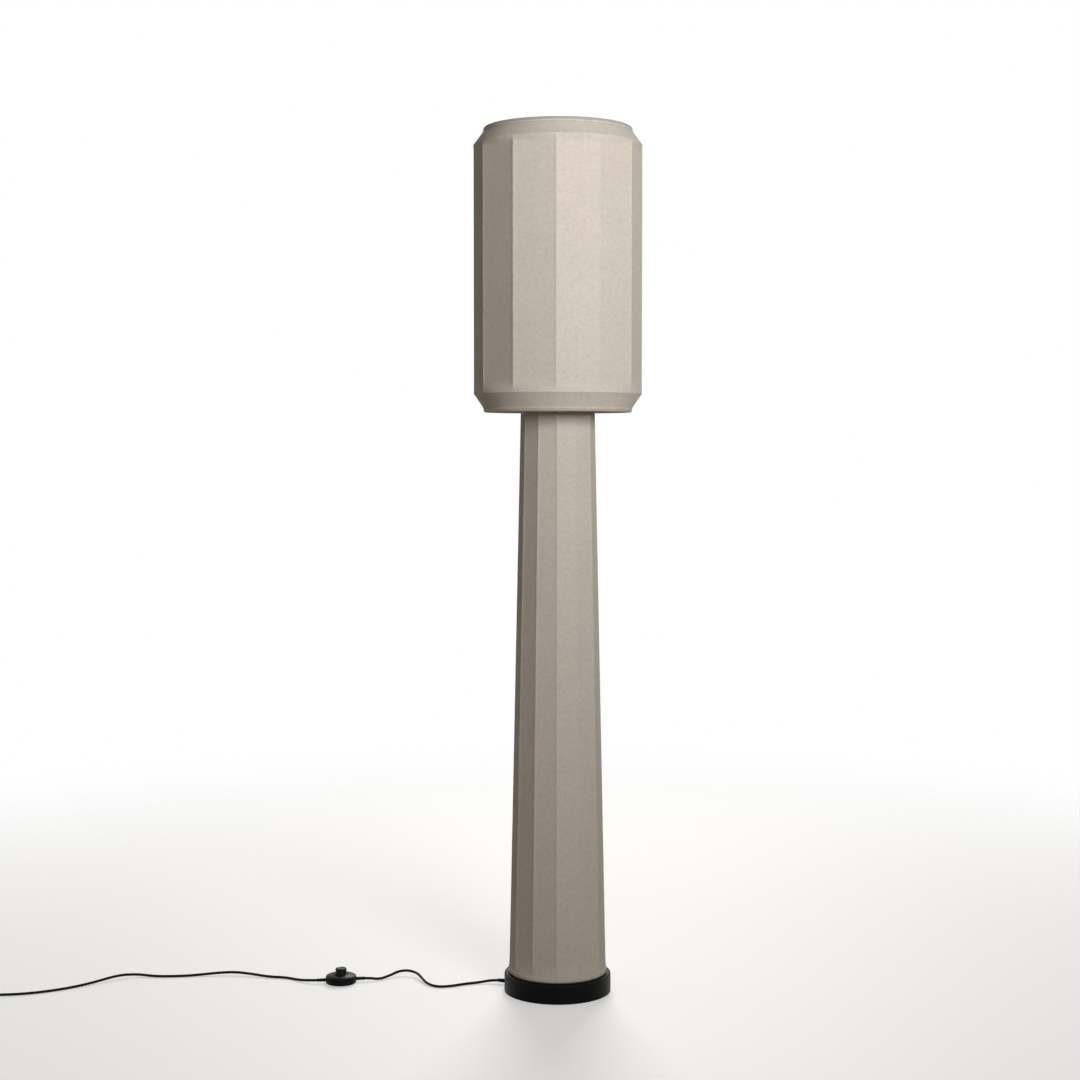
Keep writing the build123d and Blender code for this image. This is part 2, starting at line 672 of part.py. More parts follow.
def make_terminals():
    low = holder_floor()
    return [
        Pos(side * TERMINAL_SPREAD, 0, 0) * disc(TERMINAL_RADIUS, low, low + TERMINAL_HEIGHT - TOUCH)
        for side in (-1.0, 1.0)
    ]


def make_holder_contact():
    """A bent spring strip: flat feet on the core and a raised middle under the bulb."""
    low = holder_floor() + CORE_HEIGHT
    high = low + CONTACT_STRIP_RISE
    end = CONTACT_STRIP_LENGTH / 2.0
    heel = end - CONTACT_STRIP_FOOT
    crest = heel - CONTACT_STRIP_RAMP
    thick = CONTACT_STRIP_THICKNESS
    right_under = [(crest, high), (heel, low), (end, low)]
    right_over = [(end, low + thick), (heel + thick / 2.0, low + thick), (crest + thick / 2.0, high + thick)]
    right = right_under + right_over
    left = [(-x, z) for x, z in reversed(right)]
    outline = make_face(Polyline(*right, *left, close=True))
    return extrude(Plane.XZ * outline, CONTACT_STRIP_WIDTH / 2.0, both=True)


def make_bulb():
    """The bulb's cap stands in the screw shell, and its glass swells to a round above the lampholder."""
    contact_low = bulb_contact_low()
    contact_high = contact_low + BULB_CONTACT_HEIGHT
    cap_low = contact_high + BULB_INSULATOR_HEIGHT
    cap_high = cap_low + BULB_CAP_HEIGHT
    cap_radius = SCREW_SHELL_RADIUS - SCREW_SHELL_WALL - BULB_RUNNING_GAP
    sphere_centre = cap_high + BULB_SPHERE_RISE
    return {
        "bulb_contact": disc(BULB_CONTACT_RADIUS, contact_low, contact_high),
        "bulb_insulator": turned([
            (0.0, contact_high), (BULB_CONTACT_RADIUS, contact_high), (cap_radius - BULB_CAP_WALL, cap_low),
            (0.0, cap_low),
        ]),
        "bulb_cap": tube(cap_radius, BULB_NECK_RADIUS + THREAD_GAP, cap_low, cap_high),
        "bulb_glass": bulb_glass(cap_high - BULB_NECK_DEPTH, cap_high, sphere_centre),
    }


def bulb_glass(low, cap_high, centre):
    """An opal glass envelope: a neck inside the cap, a cone, and a round top, open at its foot."""
    neck = BULB_NECK_RADIUS
    outer = BULB_GLASS_RADIUS
    lean = radians(BULB_CONE_LEAN)
    tangent = (outer * cos(lean), centre - outer * sin(lean))
    wall = BULB_GLASS_WALL
    inner = outer - wall
    inner_tangent = (inner * cos(lean), centre - inner * sin(lean))
    lines = [
        Line((neck - wall, low), (neck, low)),
        Line((neck, low), (neck, cap_high)),
        Line((neck, cap_high), tangent),
        ThreePointArc(tangent, (outer * cos(lean), centre + outer * sin(lean)), (0, centre + outer)),
        Line((0, centre + outer), (0, centre + inner)),
        ThreePointArc((0, centre + inner), (inner * cos(lean), centre + inner * sin(lean)), inner_tangent),
        Line(inner_tangent, (neck - wall, cap_high)),
        Line((neck - wall, cap_high), (neck - wall, low)),
    ]
    return revolve(Plane.XZ * make_face(Curve() + lines), axis=Axis.Z)


def make_lamp():
    core_top = holder_floor() + CORE_HEIGHT
    pieces = {
        "lampholder_cap": make_holder_cap(),
        "lampholder_skirt": make_holder_skirt(),
        "lampholder_core": make_holder_core(),
        "lampholder_terminals": make_terminals(),
        "lampholder_contact": make_holder_contact(),
        "lampholder_screw_shell": tube(
            SCREW_SHELL_RADIUS, SCREW_SHELL_RADIUS - SCREW_SHELL_WALL, core_top, core_top + SCREW_SHELL_HEIGHT
        ),
    }
    pieces.update(make_bulb())
    return pieces


# Foot switch

def at_switch(piece):
    return Pos(SWITCH_X, SWITCH_Y, 0) * Rot(0, 0, SWITCH_TURN) * piece


def beside_switch(reach):
    """A point on the line of the lead through the foot switch, to its right for a positive reach."""
    return Vector(SWITCH_X, SWITCH_Y, 0) + around(reach, SWITCH_TURN, RELIEF_HEIGHT)


def post_places():
    return [Pos(0, side * POST_SPREAD, 0) for side in (-1.0, 1.0)]


def make_switch_base():
    cup = disc(SWITCH_RADIUS, 0.0, SWITCH_SEAM_HEIGHT)
    cup = chamfer(cup.edges().group_by(Axis.Z)[0], SWITCH_FOOT_CHAMFER)
    cup -= disc(SWITCH_RADIUS - SWITCH_WALL, SWITCH_WALL, SWITCH_SEAM_HEIGHT + CUT_PAST)
    tunnel = Rot(0, 90, 0) * Cylinder(RELIEF_RADIUS + TOUCH, 2.0 * RELIEF_OUTER_END)
    cup -= Pos(0, 0, RELIEF_HEIGHT) * tunnel
    for place in post_places():
        cup -= place * disc(SCREW_RADIUS + TOUCH, -CUT_PAST, SWITCH_WALL + CUT_PAST)
        cup -= place * disc(SCREW_HEAD_RADIUS + TOUCH, -CUT_PAST, SCREW_HEAD + TOUCH)
    return cup


def make_switch_cover():
    inner_brim = SWITCH_RADIUS - SWITCH_WALL
    hole = BUTTON_RADIUS + BUTTON_GAP
    seam = SWITCH_SEAM_HEIGHT + TOUCH
    brim = seam + SWITCH_BRIM
    top = SWITCH_DOME_HEIGHT
    under = top - SWITCH_WALL
    lines = [
        Line((inner_brim, seam), (SWITCH_RADIUS, seam)),
        Line((SWITCH_RADIUS, seam), (SWITCH_RADIUS, brim)),
        ThreePointArc(
            (SWITCH_RADIUS, brim),
            (SWITCH_DOME_BULGE_RADIUS, SWITCH_DOME_BULGE_HEIGHT),
            (SWITCH_COLLAR_RADIUS, top),
        ),
        Line((SWITCH_COLLAR_RADIUS, top), (hole, top)),
        Line((hole, top), (hole, under)),
        Line((hole, under), (SWITCH_COLLAR_RADIUS, under)),
        ThreePointArc(
            (SWITCH_COLLAR_RADIUS, under),
            (SWITCH_DOME_BULGE_RADIUS - SWITCH_WALL, SWITCH_DOME_BULGE_HEIGHT - SWITCH_WALL),
            (inner_brim, seam),
        ),
    ]
    dome = revolve(Plane.XZ * make_face(Curve() + lines), axis=Axis.Z)
    for place in post_places():
        post = disc(POST_RADIUS, SWITCH_WALL + POST_FOOT_GAP, SWITCH_DOME_BULGE_HEIGHT - SWITCH_WALL / 2.0)
        drill = disc(SCREW_RADIUS + TOUCH, 0.0, SCREW_LENGTH + CUT_PAST)
        dome = dome + place * post - place * drill
    return dome


def flange_low():
    return SWITCH_DOME_HEIGHT - SWITCH_WALL - TOUCH - BUTTON_FLANGE


def make_button():
    low = flange_low()
    cap = disc(BUTTON_RADIUS, low, SWITCH_DOME_HEIGHT + BUTTON_PRESSED_STAND + BUTTON_TRAVEL)
    cap = fillet(cap.edges().group_by(Axis.Z)[-1], BUTTON_EDGE)
    cap += disc(BUTTON_FLANGE_RADIUS, low, low + BUTTON_FLANGE)
    return cap - disc(BUTTON_RECESS_RADIUS, low - CUT_PAST, low + BUTTON_RECESS_DEPTH)


def block_top():
    return SWITCH_WALL + TOUCH + BLOCK_HEIGHT


def make_spring():
    """Return spring under the button, on the terminal block."""
    low = block_top() + CONTACT_THICKNESS + SPRING_WIRE / 2.0 + TOUCH
    high = flange_low() + BUTTON_RECESS_DEPTH - SPRING_WIRE / 2.0 - TOUCH
    height = high - low
    path = Pos(0, 0, low) * Helix(height / SPRING_TURNS, height, SPRING_RADIUS)
    section = Plane(path @ 0, z_dir=path % 0) * RegularPolygon(SPRING_WIRE / 2.0, SPRING_WIRE_SIDES)
    return sweep(section, path=path, is_frenet=True)


def make_switch_screw():
    head = disc(SCREW_HEAD_RADIUS, TOUCH, SCREW_HEAD)
    return head + disc(SCREW_RADIUS, SCREW_HEAD, SCREW_LENGTH)


def make_relief(side):
    """Strain relief that is moulded on the lead where it enters the foot switch."""
    outline = [
        (0, RELIEF_INNER_END),
        (RELIEF_RADIUS, RELIEF_INNER_END),
        (RELIEF_RADIUS, RELIEF_OUTER_END - RELIEF_TAPER),
        (RELIEF_TIP_RADIUS, RELIEF_OUTER_END),
        (0, RELIEF_OUTER_END),
    ]
    return Pos(0, 0, RELIEF_HEIGHT) * Rot(0, side * 90, 0) * turned(outline)


def make_switch():
    block = Pos(0, 0, SWITCH_WALL + TOUCH) * Box(
        BLOCK_LENGTH, BLOCK_WIDTH, BLOCK_HEIGHT, align=(Align.CENTER, Align.CENTER, Align.MIN)
    )
    contact = Box(
        CONTACT_LENGTH, BLOCK_WIDTH / 2.0, CONTACT_THICKNESS, align=(Align.CENTER, Align.CENTER, Align.MIN)
    )
    contact_reach = (BLOCK_LENGTH - CONTACT_LENGTH) / 2.0
    pieces = {
        "switch_base": make_switch_base(),
        "switch_cover": make_switch_cover(),
        "switch_button": make_button(),
        "switch_spring": make_spring(),
        "switch_terminal_block": block,
        "switch_contacts": [Pos(side * contact_reach, 0, block_top()) * contact for side in (-1.0, 1.0)],
        "switch_screws": [place * make_switch_screw() for place in post_places()],
        "switch_strain_reliefs": [make_relief(side) for side in (-1.0, 1.0)],
    }
    placed = {}
    for name, piece in pieces.items():
        placed[name] = [at_switch(solid) for solid in piece] if isinstance(piece, list) else at_switch(piece)
    return placed


# Lead

def bend_radii(points):
    """Each bend takes less than half of its shorter run, so two bends never meet on one run."""
    radii = []
    for before, point, after in zip(points, points[1:], points[2:]):
        run_in = point - before
        run_out = after - point
        turn = radians(run_in.get_angle(run_out))
        radii.append(BEND_SHARE * min(run_in.length, run_out.length) / tan(turn / 2.0))
    return radii


def on_floor(route):
    return [Vector(x, y, FLOOR_CENTRE + lift) for x, y, lift in route]


def cord_stretch(name, points):
    """A free stretch of the lead: straight runs joined by tangent arcs."""
    radii = bend_radii(points)
    path = FilletPolyline(*points, radius=radii)
    solid = sweep(Plane(path @ 0, z_dir=path % 0) * Circle(CORD_DIAMETER / 2.0), path=path)
    section = pi * CORD_DIAMETER ** 2 / 4.0
    print(name, "length", round(path.length, 1), "smallest radius", round(min(radii), 1))
    print(name, "volume over section times length", round(solid.volume / (section * path.length), 4))
    return solid


def biarc(start, start_way, end, end_way):
    """Two arcs that join two points, tangent to a given way at each and to each other."""
    gap = end - start
    spread = 2.0 * (1.0 - start_way.dot(end_way))
    lean = gap.dot(start_way + end_way)
    reach = (-lean + (lean ** 2 + spread * gap.dot(gap)) ** 0.5) / spread
    middle = (start + start_way * reach + end - end_way * reach) * 0.5
    middle_way = (end - end_way * reach - start - start_way * reach).normalized()
    first = Edge.make_tangent_arc(start, start_way, middle)
    second = Edge.make_tangent_arc(middle, middle_way, end)
    return [first, second]


def coil_stations():
    """One station at each half turn: it spirals in, climbs a layer, and spirals out above."""
    low = FLOOR_CENTRE
    high = low + COIL_LAYER_STEP
    radius = COIL_OUTER_RADIUS
    stations = [(90.0, radius, low)]
    for _ in range(COIL_HALF_TURNS_IN):
        radius -= COIL_PITCH / 2.0
        stations.append((stations[-1][0] + 180.0, radius, low))
    stations.append((stations[-1][0] + 180.0, radius, high))
    for _ in range(COIL_HALF_TURNS_OUT):
        radius += COIL_PITCH / 2.0
        stations.append((stations[-1][0] + 180.0, radius, high))
    return stations


def coil_point(station):
    azimuth, radius, height = station
    return Vector(COIL_X, COIL_Y, 0) + around(radius, azimuth, height)


def coil_entry():
    """Where the free lead meets the coil, one diameter before its first turn."""
    return coil_point(coil_stations()[0]) + Vector(CORD_DIAMETER, 0, 0)


def coil_exit():
    return coil_point(coil_stations()[-1]) - Vector(COIL_TAIL, 0, 0)


def least_gap(path, diameter):
    """Smallest clear space between turns of the tube, on points about a millimetre apart along it."""
    count = ceil(path.length)
    points = [tuple(point) for point in path.positions([index / count for index in range(count + 1)])]
    skip = ceil(2.0 * diameter * count / path.length)
    gaps = [dist(point, other) for index, point in enumerate(points) for other in points[index + skip:]]
    return min(gaps) - diameter


def make_coil():
    stations = coil_stations()
    edges = [Edge.make_line(coil_entry(), coil_point(stations[0]))]
    for here, there in zip(stations, stations[1:]):
        ways = [around(1.0, station[0] + 90.0, 0.0) for station in (here, there)]
        edges += biarc(coil_point(here), ways[0], coil_point(there), ways[1])
    edges.append(Edge.make_line(coil_point(stations[-1]), coil_exit()))
    path = Wire(edges)
    solid = sweep(Plane(path @ 0, z_dir=path % 0) * Circle(CORD_DIAMETER / 2.0), path=path)
    section = pi * CORD_DIAMETER ** 2 / 4.0
    gap = least_gap(path, CORD_DIAMETER)
    print("cord_coil length", round(path.length, 1), "least gap to itself", round(gap, 2))
    print("cord_coil volume over section times length", round(solid.volume / (section * path.length), 4))
    return solid


def at_plug(piece):
    """Places a plug piece, modelled along +Z from the lead, at the coil's end, pointing along -X."""
    return Plane(origin=coil_exit(), x_dir=(0, 1, 0), z_dir=(-1, 0, 0)) * piece


def make_plug_body():
    """Flat two-pin plug: a tapered tail, a swollen grip and a flat face."""
    on_its_foot = (Align.CENTER, Align.CENTER, Align.MIN)
    tail = Cone(PLUG_TAIL_RADIUS, PLUG_TAIL_END_RADIUS, PLUG_TAIL_LENGTH, align=on_its_foot)
    grip_end = PLUG_TAIL_LENGTH + PLUG_GRIP_LENGTH
    neck_width = 2.0 * (PLUG_TAIL_END_RADIUS + TOUCH)
    sections = [
        (PLUG_TAIL_LENGTH - PLUG_LAP, neck_width, neck_width),
        (PLUG_TAIL_LENGTH + PLUG_GRIP_CREST, PLUG_GRIP_WIDTH, PLUG_GRIP_HEIGHT),
        (grip_end, PLUG_GRIP_WIDTH, PLUG_HEIGHT),
        (grip_end + PLUG_SHOULDER, PLUG_WIDTH, PLUG_HEIGHT),
        (plug_face(), PLUG_WIDTH, PLUG_HEIGHT),
    ]
    faces = [
        Pos(0, 0, place) * RectangleRounded(width, height, PLUG_CORNER_SHARE * min(width, height))
        for place, width, height in sections
    ]
    body = loft(Sketch() + faces, ruled=True)
    holes = [Pos(side * PIN_SPACING / 2.0, 0, 0) * pin_hole() for side in (-1.0, 1.0)]
    return tail + body - holes


def plug_face():
    return PLUG_TAIL_LENGTH + PLUG_GRIP_LENGTH + PLUG_FACE_LENGTH


def pin_hole():
    low = plug_face() - PIN_ROOT
    return disc(PIN_CORE_RADIUS + THREAD_GAP, low, plug_face() + CUT_PAST)


def make_pins():
    """Pins with a thin core in the body, and an insulating sleeve flush with their bare outer ends."""
    low = plug_face() - PIN_ROOT
    high = plug_face() + PIN_LENGTH
    sleeve_high = plug_face() + PIN_SLEEVE_LENGTH
    pin = disc(PIN_CORE_RADIUS, low, sleeve_high) + disc(PIN_RADIUS, sleeve_high, high)
    pin = chamfer(pin.edges().group_by(Axis.Z)[-1], PIN_TIP)
    sleeve = tube(PIN_RADIUS, PIN_CORE_RADIUS + THREAD_GAP, plug_face() + TOUCH, sleeve_high - TOUCH)
    sides = [Pos(side * PIN_SPACING / 2.0, 0, 0) for side in (-1.0, 1.0)]
    return [side * pin for side in sides], [side * sleeve for side in sides]


def make_lead():
    pins, sleeves = make_pins()
    gland_reaches = (gland_face_distance(), gland_face_distance() + LEAD_START)
    from_gland = [around(reach, EXIT_AZIMUTH, EXIT_HEIGHT) for reach in gland_reaches]
    switch_right = [beside_switch(RELIEF_OUTER_END + LEAD_START), beside_switch(RELIEF_OUTER_END)]
    switch_left = [beside_switch(-RELIEF_OUTER_END), beside_switch(-RELIEF_OUTER_END - LEAD_START)]
    to_switch = from_gland + on_floor(ROUTE_TO_SWITCH) + switch_right
    to_coil = switch_left + on_floor(ROUTE_TO_COIL) + [coil_entry()]
    return {
        "cord_base_to_switch": cord_stretch("cord_base_to_switch", to_switch),
        "cord_switch_to_coil": cord_stretch("cord_switch_to_coil", to_coil),
        "cord_coil": make_coil(),
        "plug_body": at_plug(make_plug_body()),
        "plug_pins": [at_plug(pin) for pin in pins],
        "plug_pin_sleeves": [at_plug(sleeve) for sleeve in sleeves],
    }


def write_pieces(pieces):
    """Writes each node, with the separate solids of a repeated piece side by side in one file."""
    os.makedirs("parts", exist_ok=True)
    for name, piece in pieces.items():
        solids = piece if isinstance(piece, list) else [piece]
        bodies = [solid for shape in solids for solid in shape.solids()]
        node = bodies[0] if len(bodies) == 1 else Compound(children=bodies)
        export_step(node, os.path.join("parts", name + ".step"))


pieces = {}
for make in (make_base, make_pole, make_column, make_shade, make_lamp, make_switch, make_lead):
    pieces.update(make())
write_pieces(pieces)
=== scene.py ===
import json
from math import ceil, cos, hypot, pi, radians, sin

import bpy
from mathutils import Matrix, Vector, noise


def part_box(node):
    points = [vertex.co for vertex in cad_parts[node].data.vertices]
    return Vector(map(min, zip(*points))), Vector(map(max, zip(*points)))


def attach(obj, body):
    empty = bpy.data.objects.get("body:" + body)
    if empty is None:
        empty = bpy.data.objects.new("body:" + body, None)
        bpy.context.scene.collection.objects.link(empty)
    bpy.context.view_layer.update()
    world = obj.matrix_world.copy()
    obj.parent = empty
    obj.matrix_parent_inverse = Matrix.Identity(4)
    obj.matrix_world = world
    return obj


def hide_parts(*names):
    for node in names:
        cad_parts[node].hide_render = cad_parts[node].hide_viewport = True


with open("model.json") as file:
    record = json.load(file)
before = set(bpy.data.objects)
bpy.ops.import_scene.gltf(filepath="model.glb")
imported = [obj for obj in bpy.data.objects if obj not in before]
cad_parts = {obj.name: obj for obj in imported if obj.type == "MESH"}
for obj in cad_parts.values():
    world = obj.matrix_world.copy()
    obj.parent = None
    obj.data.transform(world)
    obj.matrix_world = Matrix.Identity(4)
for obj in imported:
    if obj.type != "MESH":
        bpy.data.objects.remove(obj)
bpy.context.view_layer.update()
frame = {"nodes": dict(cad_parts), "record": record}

# Lengths are in metres and angles in degrees, unless a comment says otherwise.

# The photograph's square frame in pixels, and the camera, which looks along +Y and a little down
PICTURE_SIDE = 1080.0
FOCAL_PIXELS = 1899.6
SENSOR = 36.0
CAMERA_PLACE = (-0.0328, -3.516, 1.0261)
CAMERA_DOWN = 2.953

# The lamp stands on z = 0 with its axis on Z, and one of its twelve corners nearly faces the camera
SIDES = 12
FRONT_AZIMUTH = -90.0
FRONT_CORNER_TURN = -1.4
STEP_ANGLE = 360.0 / SIDES
HALF_STEP = radians(STEP_ANGLE / 2.0)
TOTAL_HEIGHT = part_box("shade_top_trim")[1].z

# Thickness of the cloth and of the strips that bind it, and the gap between pieces that touch
FABRIC = 0.0008
TRIM = 0.0008
TRIM_EDGE = 0.0003
TOUCH = 0.0001

# The lapped seam, in the panel at the back
SEAM_PANEL = SIDES // 2
SEAM_LAP = 0.009
SEAM_STEP = 0.0004

# Wire of the rings and hoops
RING_WIRE = 0.004
HOOP_WIRE = 0.0025

# Cloth over a rib: the crease is rounded over RIB_ROUND, by a share of it, and further out the cloth sinks
# until it has dipped fully at the shoulder
RIB_ROUND = 0.0012
CREASE_DEPTH = 0.12
RIB_SHOULDER = 0.0048
RIB_DIP = 0.0005

# Cloth over a hoop: how cornered the fold is (0 is a circle, 1 has straight sides), the rows in which the
# creases run out to it, and the bead that the wire presses outwards
FOLD_ROUND = 0.03
FOLD_STEPS = 5
FOLD_BEAD = 0.00035
FOLD_BEAD_WIDTH = 0.0026

# Panels wave a little, each in its own way; the wave grows from nothing at a rib over a share of the width
PANEL_WAVE = 0.00022
PANEL_WAVE_LENGTH = 0.11
PANEL_WAVE_SHIFT = 7.0
PANEL_WAVE_RUN_IN = 0.25

# Trims are a little uneven and drawn in, each in its own way: the shifts move them through the noise
TRIM_WOBBLE = 0.00016
TRIM_WOBBLE_LENGTH = 0.012
TRIM_WOBBLE_BIAS = 0.5
TRIM_HEIGHT_SHIFT = 40.0
TRIM_OUTLINE_SHIFT = 2.0

# Shade
SHADE_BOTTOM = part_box("shade_bottom_trim")[0].z
SHADE_CORNER_RADIUS = 0.155
SHADE_RIM_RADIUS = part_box("shade_top_trim")[1].x
SHADE_TOP_BEVEL = 0.032
SHADE_BOTTOM_BEVEL = 0.0345
SHADE_TRIM_HEIGHT = 0.0095
SHADE_TRIM_TURN_IN = 0.004
SHADE_TRIM_LEAN = 0.0022
SHADE_FOLD_BELOW = 0.013
SHADE_FOLD_ABOVE = 0.022

# Column: its corners have the radii of the solids, and a thin brown tape binds the foot hem's lower edge;
# its dark band is also painted shade in the joint above the base
COLUMN_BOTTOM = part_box("column_foot_hem")[0].z
COLUMN_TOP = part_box("column_top_hem")[1].z
COLUMN_FOOT_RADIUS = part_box("column_foot_hem")[1].x
COLUMN_TOP_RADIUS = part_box("column_top_hem")[1].x
COLUMN_LOWER_CORNER_RADIUS = 0.0898
COLUMN_UPPER_CORNER_RADIUS = 0.0683
COLUMN_FLARE_END = 0.030
COLUMN_HEM_HEIGHT = 0.012
COLUMN_HEM_LEAN = 0.0008
COLUMN_TOP_ROUND = 0.0125
COLUMN_TOP_TURN_IN = 0.024
HEM_TAPE_AND_SHADE_HEIGHT = 0.0045

# Division of the cloth: places beside a crease and across a panel, and rows beside a fold and up a panel
CREASE_PLACES = (RIB_ROUND, 2.0 * RIB_ROUND, 3.0 * RIB_ROUND, RIB_SHOULDER)
PANEL_PLACES = [0.2, 0.35, 0.5, 0.65, 0.8]
FOLD_ROWS = (1.0, 2.0)
FOLD_ROW_LIMIT = 0.2
SHADE_ROW_STEP = 0.022
COLUMN_ROW_STEP = 0.03

# Division of the turned pieces, round the lamp or their own axis, and round a trim's roll or a wire
SHADE_TRIM_SEGMENTS = 192
COLUMN_HEM_SEGMENTS = 144
HOOP_SEGMENTS = 144
DOME_SEGMENTS = 96
BUTTON_SEGMENTS = 80
SLEEVE_SEGMENTS = 40
POST_SEGMENTS = 32
ROLL_STEPS = 14
WIRE_STEPS = 12

# Lead: its size, where it leaves the base, its straight start, the height of its centre on the floor,
# # and how finely its curve is drawn
CORD_DIAMETER = 0.005
EXIT_AZIMUTH = 160.0
EXIT_HEIGHT = 0.0065
EXIT_REACH = 0.106
LEAD_START = 0.022
FLOOR_CENTRE = 0.0026
CORD_STEPS_ALONG = 8
CORD_STEPS_ROUND = 5

# Route of the lead as it lies in the photograph, and on to the coil: (x, y, lift above lying flat)
ROUTE_TO_SWITCH = [
    (-0.147, 0.039, 0.0002), (-0.176, 0.029, 0.0), (-0.203, 0.013, 0.0), (-0.229, 0.010, 0.0),
    (-0.248, 0.031, 0.001), (-0.259, 0.059, 0.004), (-0.269, 0.083, 0.006), (-0.286, 0.097, 0.007),
    (-0.305, 0.095, 0.006), (-0.321, 0.078, 0.002), (-0.340, 0.060, 0.0),
]
ROUTE_TO_COIL = [
    (-0.492, 0.055, 0.0), (-0.520, 0.073, 0.0), (-0.552, 0.077, 0.0), (-0.586, 0.089, 0.002),
    (-0.622, 0.097, 0.004), (-0.660, 0.095, 0.002), (-0.700, 0.086, 0.0), (-0.739, 0.080, 0.0),
    (-0.774, 0.081, 0.0), (-0.808, 0.088, 0.002), (-0.840, 0.070, 0.005), (-0.874, 0.041, 0.001),
    (-0.908, 0.009, 0.0), (-0.947, -0.017, 0.0), (-0.990, -0.036, 0.0), (-1.038, -0.043, 0.0),
    (-1.085, -0.043, 0.0),
]

# Coil of the length that is put away, outside the picture on the left
COIL_X = -1.090
COIL_Y = -0.078
COIL_START_AZIMUTH = 90.0
COIL_OUTER_RADIUS = 0.035
COIL_PITCH = 0.0067
COIL_LAYER_STEP = 0.0055
COIL_HALF_TURNS_IN = 5
COIL_HALF_TURNS_OUT = 6
COIL_TAIL = 0.010
POINTS_PER_HALF_TURN = 12

# Foot switch: its place and turn, its wall, collar and button, and the ends of the lead that enter it
SWITCH_X = -0.411
SWITCH_Y = 0.048
SWITCH_TURN = 8.9
SWITCH_WALL = 0.002
SWITCH_COLLAR_RADIUS = 0.0145
BUTTON_RADIUS = 0.0105
BUTTON_GAP = 0.0003
RELIEF_HEIGHT = 0.0062
RELIEF_REACH = 0.033

# Its two screw posts, which stand beside the line of the lead; POST_RISE is over the dome's seam
POST_SPREAD = 0.019
POST_RADIUS = 0.0032
POST_BORE = 0.0015
POST_FOOT = 0.0022
POST_RISE = 0.0048

# Outline of its dome, outside from the brim up to the button's hole and inside back down:
# (radius it is measured from, distance from that radius, height over the seam)
DOME_OUTLINE = [
    ("brim", -0.0006, 0.0), ("brim", -0.0001, 0.0004), ("brim", 0.0, 0.0010), ("brim", 0.0, 0.0018),
    ("brim", -0.0003, 0.0026), ("brim", -0.0011, 0.0034), ("brim", -0.0026, 0.0043),
    ("brim", -0.0050, 0.0052), ("brim", -0.0080, 0.0060), ("brim", -0.0110, 0.0064),
    ("collar", 0.0014, 0.0067), ("collar", 0.0005, 0.0070), ("collar", 0.0, 0.0075),
    ("collar", 0.0, 0.0080), ("collar", -0.0004, 0.0083), ("collar", -0.0010, 0.0084),
    ("hole", 0.0005, 0.0084), ("hole", 0.0, 0.0079), ("hole", 0.0, 0.0064),
    ("collar", -0.0005, 0.0064), ("collar", 0.0015, 0.0052), ("brim", -0.0080, 0.0040),
    ("brim", -SWITCH_WALL, 0.0020), ("brim", -SWITCH_WALL, 0.0),
]

# Outline of its button in the same form: the dished crown, measured from the button's top, and then the
# wall, the flange and the hollow under them, measured from its lowest point
BUTTON_CROWN = [
    ("axis", 0.00005, -0.0010), ("axis", 0.0003, -0.0010), ("axis", 0.0010, -0.0010),
    ("axis", 0.0040, -0.0009), ("axis", 0.0068, -0.0005), ("axis", 0.0080, -0.0001),
    ("axis", 0.0088, 0.0), ("axis", 0.0096, -0.0003), ("axis", 0.0102, -0.0009), ("wall", 0.0, -0.0018),
]
BUTTON_SKIRT = [
    ("wall", 0.0, 0.0021), ("wall", 0.0002, 0.0019), ("flange", 0.0, 0.0019), ("flange", 0.0, 0.0),
    ("axis", 0.0076, 0.0), ("axis", 0.0074, 0.0030), ("axis", 0.00005, 0.0031),
]

# Gland in the wall of the base: reach from the lamp's axis, then distances from the outside of that wall
GLAND_INNER_END = 0.0962
GLAND_INNER_FACE = 0.0018
GLAND_FLANGE = 0.0015
GLAND_NOSE = 0.0205
GLAND_FLANGE_RADIUS = 0.0057
GLAND_NECK_RADIUS = 0.0045
GLAND_TIP_RADIUS = 0.0031

# Tapered sleeves on both sides of the foot switch, from its middle
SWITCH_SLEEVE_START = 0.022
SWITCH_SLEEVE_END = 0.0455
SWITCH_SLEEVE_ROOT_RADIUS = 0.0036
SWITCH_SLEEVE_TIP_RADIUS = 0.003

# Grooves of gland and sleeves: they start after a share of the length and take up a share of it;
# one groove is points of (share of its pitch, share of its depth)
SLEEVE_GROOVES = 5
SLEEVE_GROOVES_START = 0.12
SLEEVE_GROOVES_LENGTH = 0.8
SLEEVE_GROOVE_DEPTH = 0.00035
SLEEVE_GROOVE = ((0.0, 0.0), (0.12, 1.0), (0.42, 1.0), (0.54, 0.0))
SLEEVE_END_REACH = 0.0004
SLEEVE_END_INSET = 0.0003

# Light: each lamp stands round the object and is aimed at a height on its axis
KEY_LIGHT = {
    "azimuth": -66.5, "distance": 2.3, "height": 1.62, "aim_height": 2.15, "size": 0.9, "spread": 138.0,
    "power": 29.2,
}
FILL_LIGHT = {
    "azimuth": 165.0, "distance": 3.2, "height": 1.5, "aim_height": 1.2, "size": 1.6, "spread": 180.0,
    "power": 3.0,
}
BACK_LIGHT = {
    "azimuth": 88.0, "distance": 2.6, "height": 2.2, "aim_height": 1.2, "size": 1.4, "spread": 160.0,
    "power": 42.0,
}
AMBIENT = (0.100, 0.082, 0.063)
WHITE = (1.0, 1.0, 1.0)

# Floor: its colour, what it throws back on the lamp, the glow that lifts it, and where it fades out
FLOOR_COLOUR = (0.80, 0.80, 0.79)
FLOOR_BOUNCE = (0.30, 0.27, 0.24)
FLOOR_LIFT = 0.38
FLOOR_FADE_START = 0.7
FLOOR_FADE_END = 3.0
FLOOR_REACH = 4.0

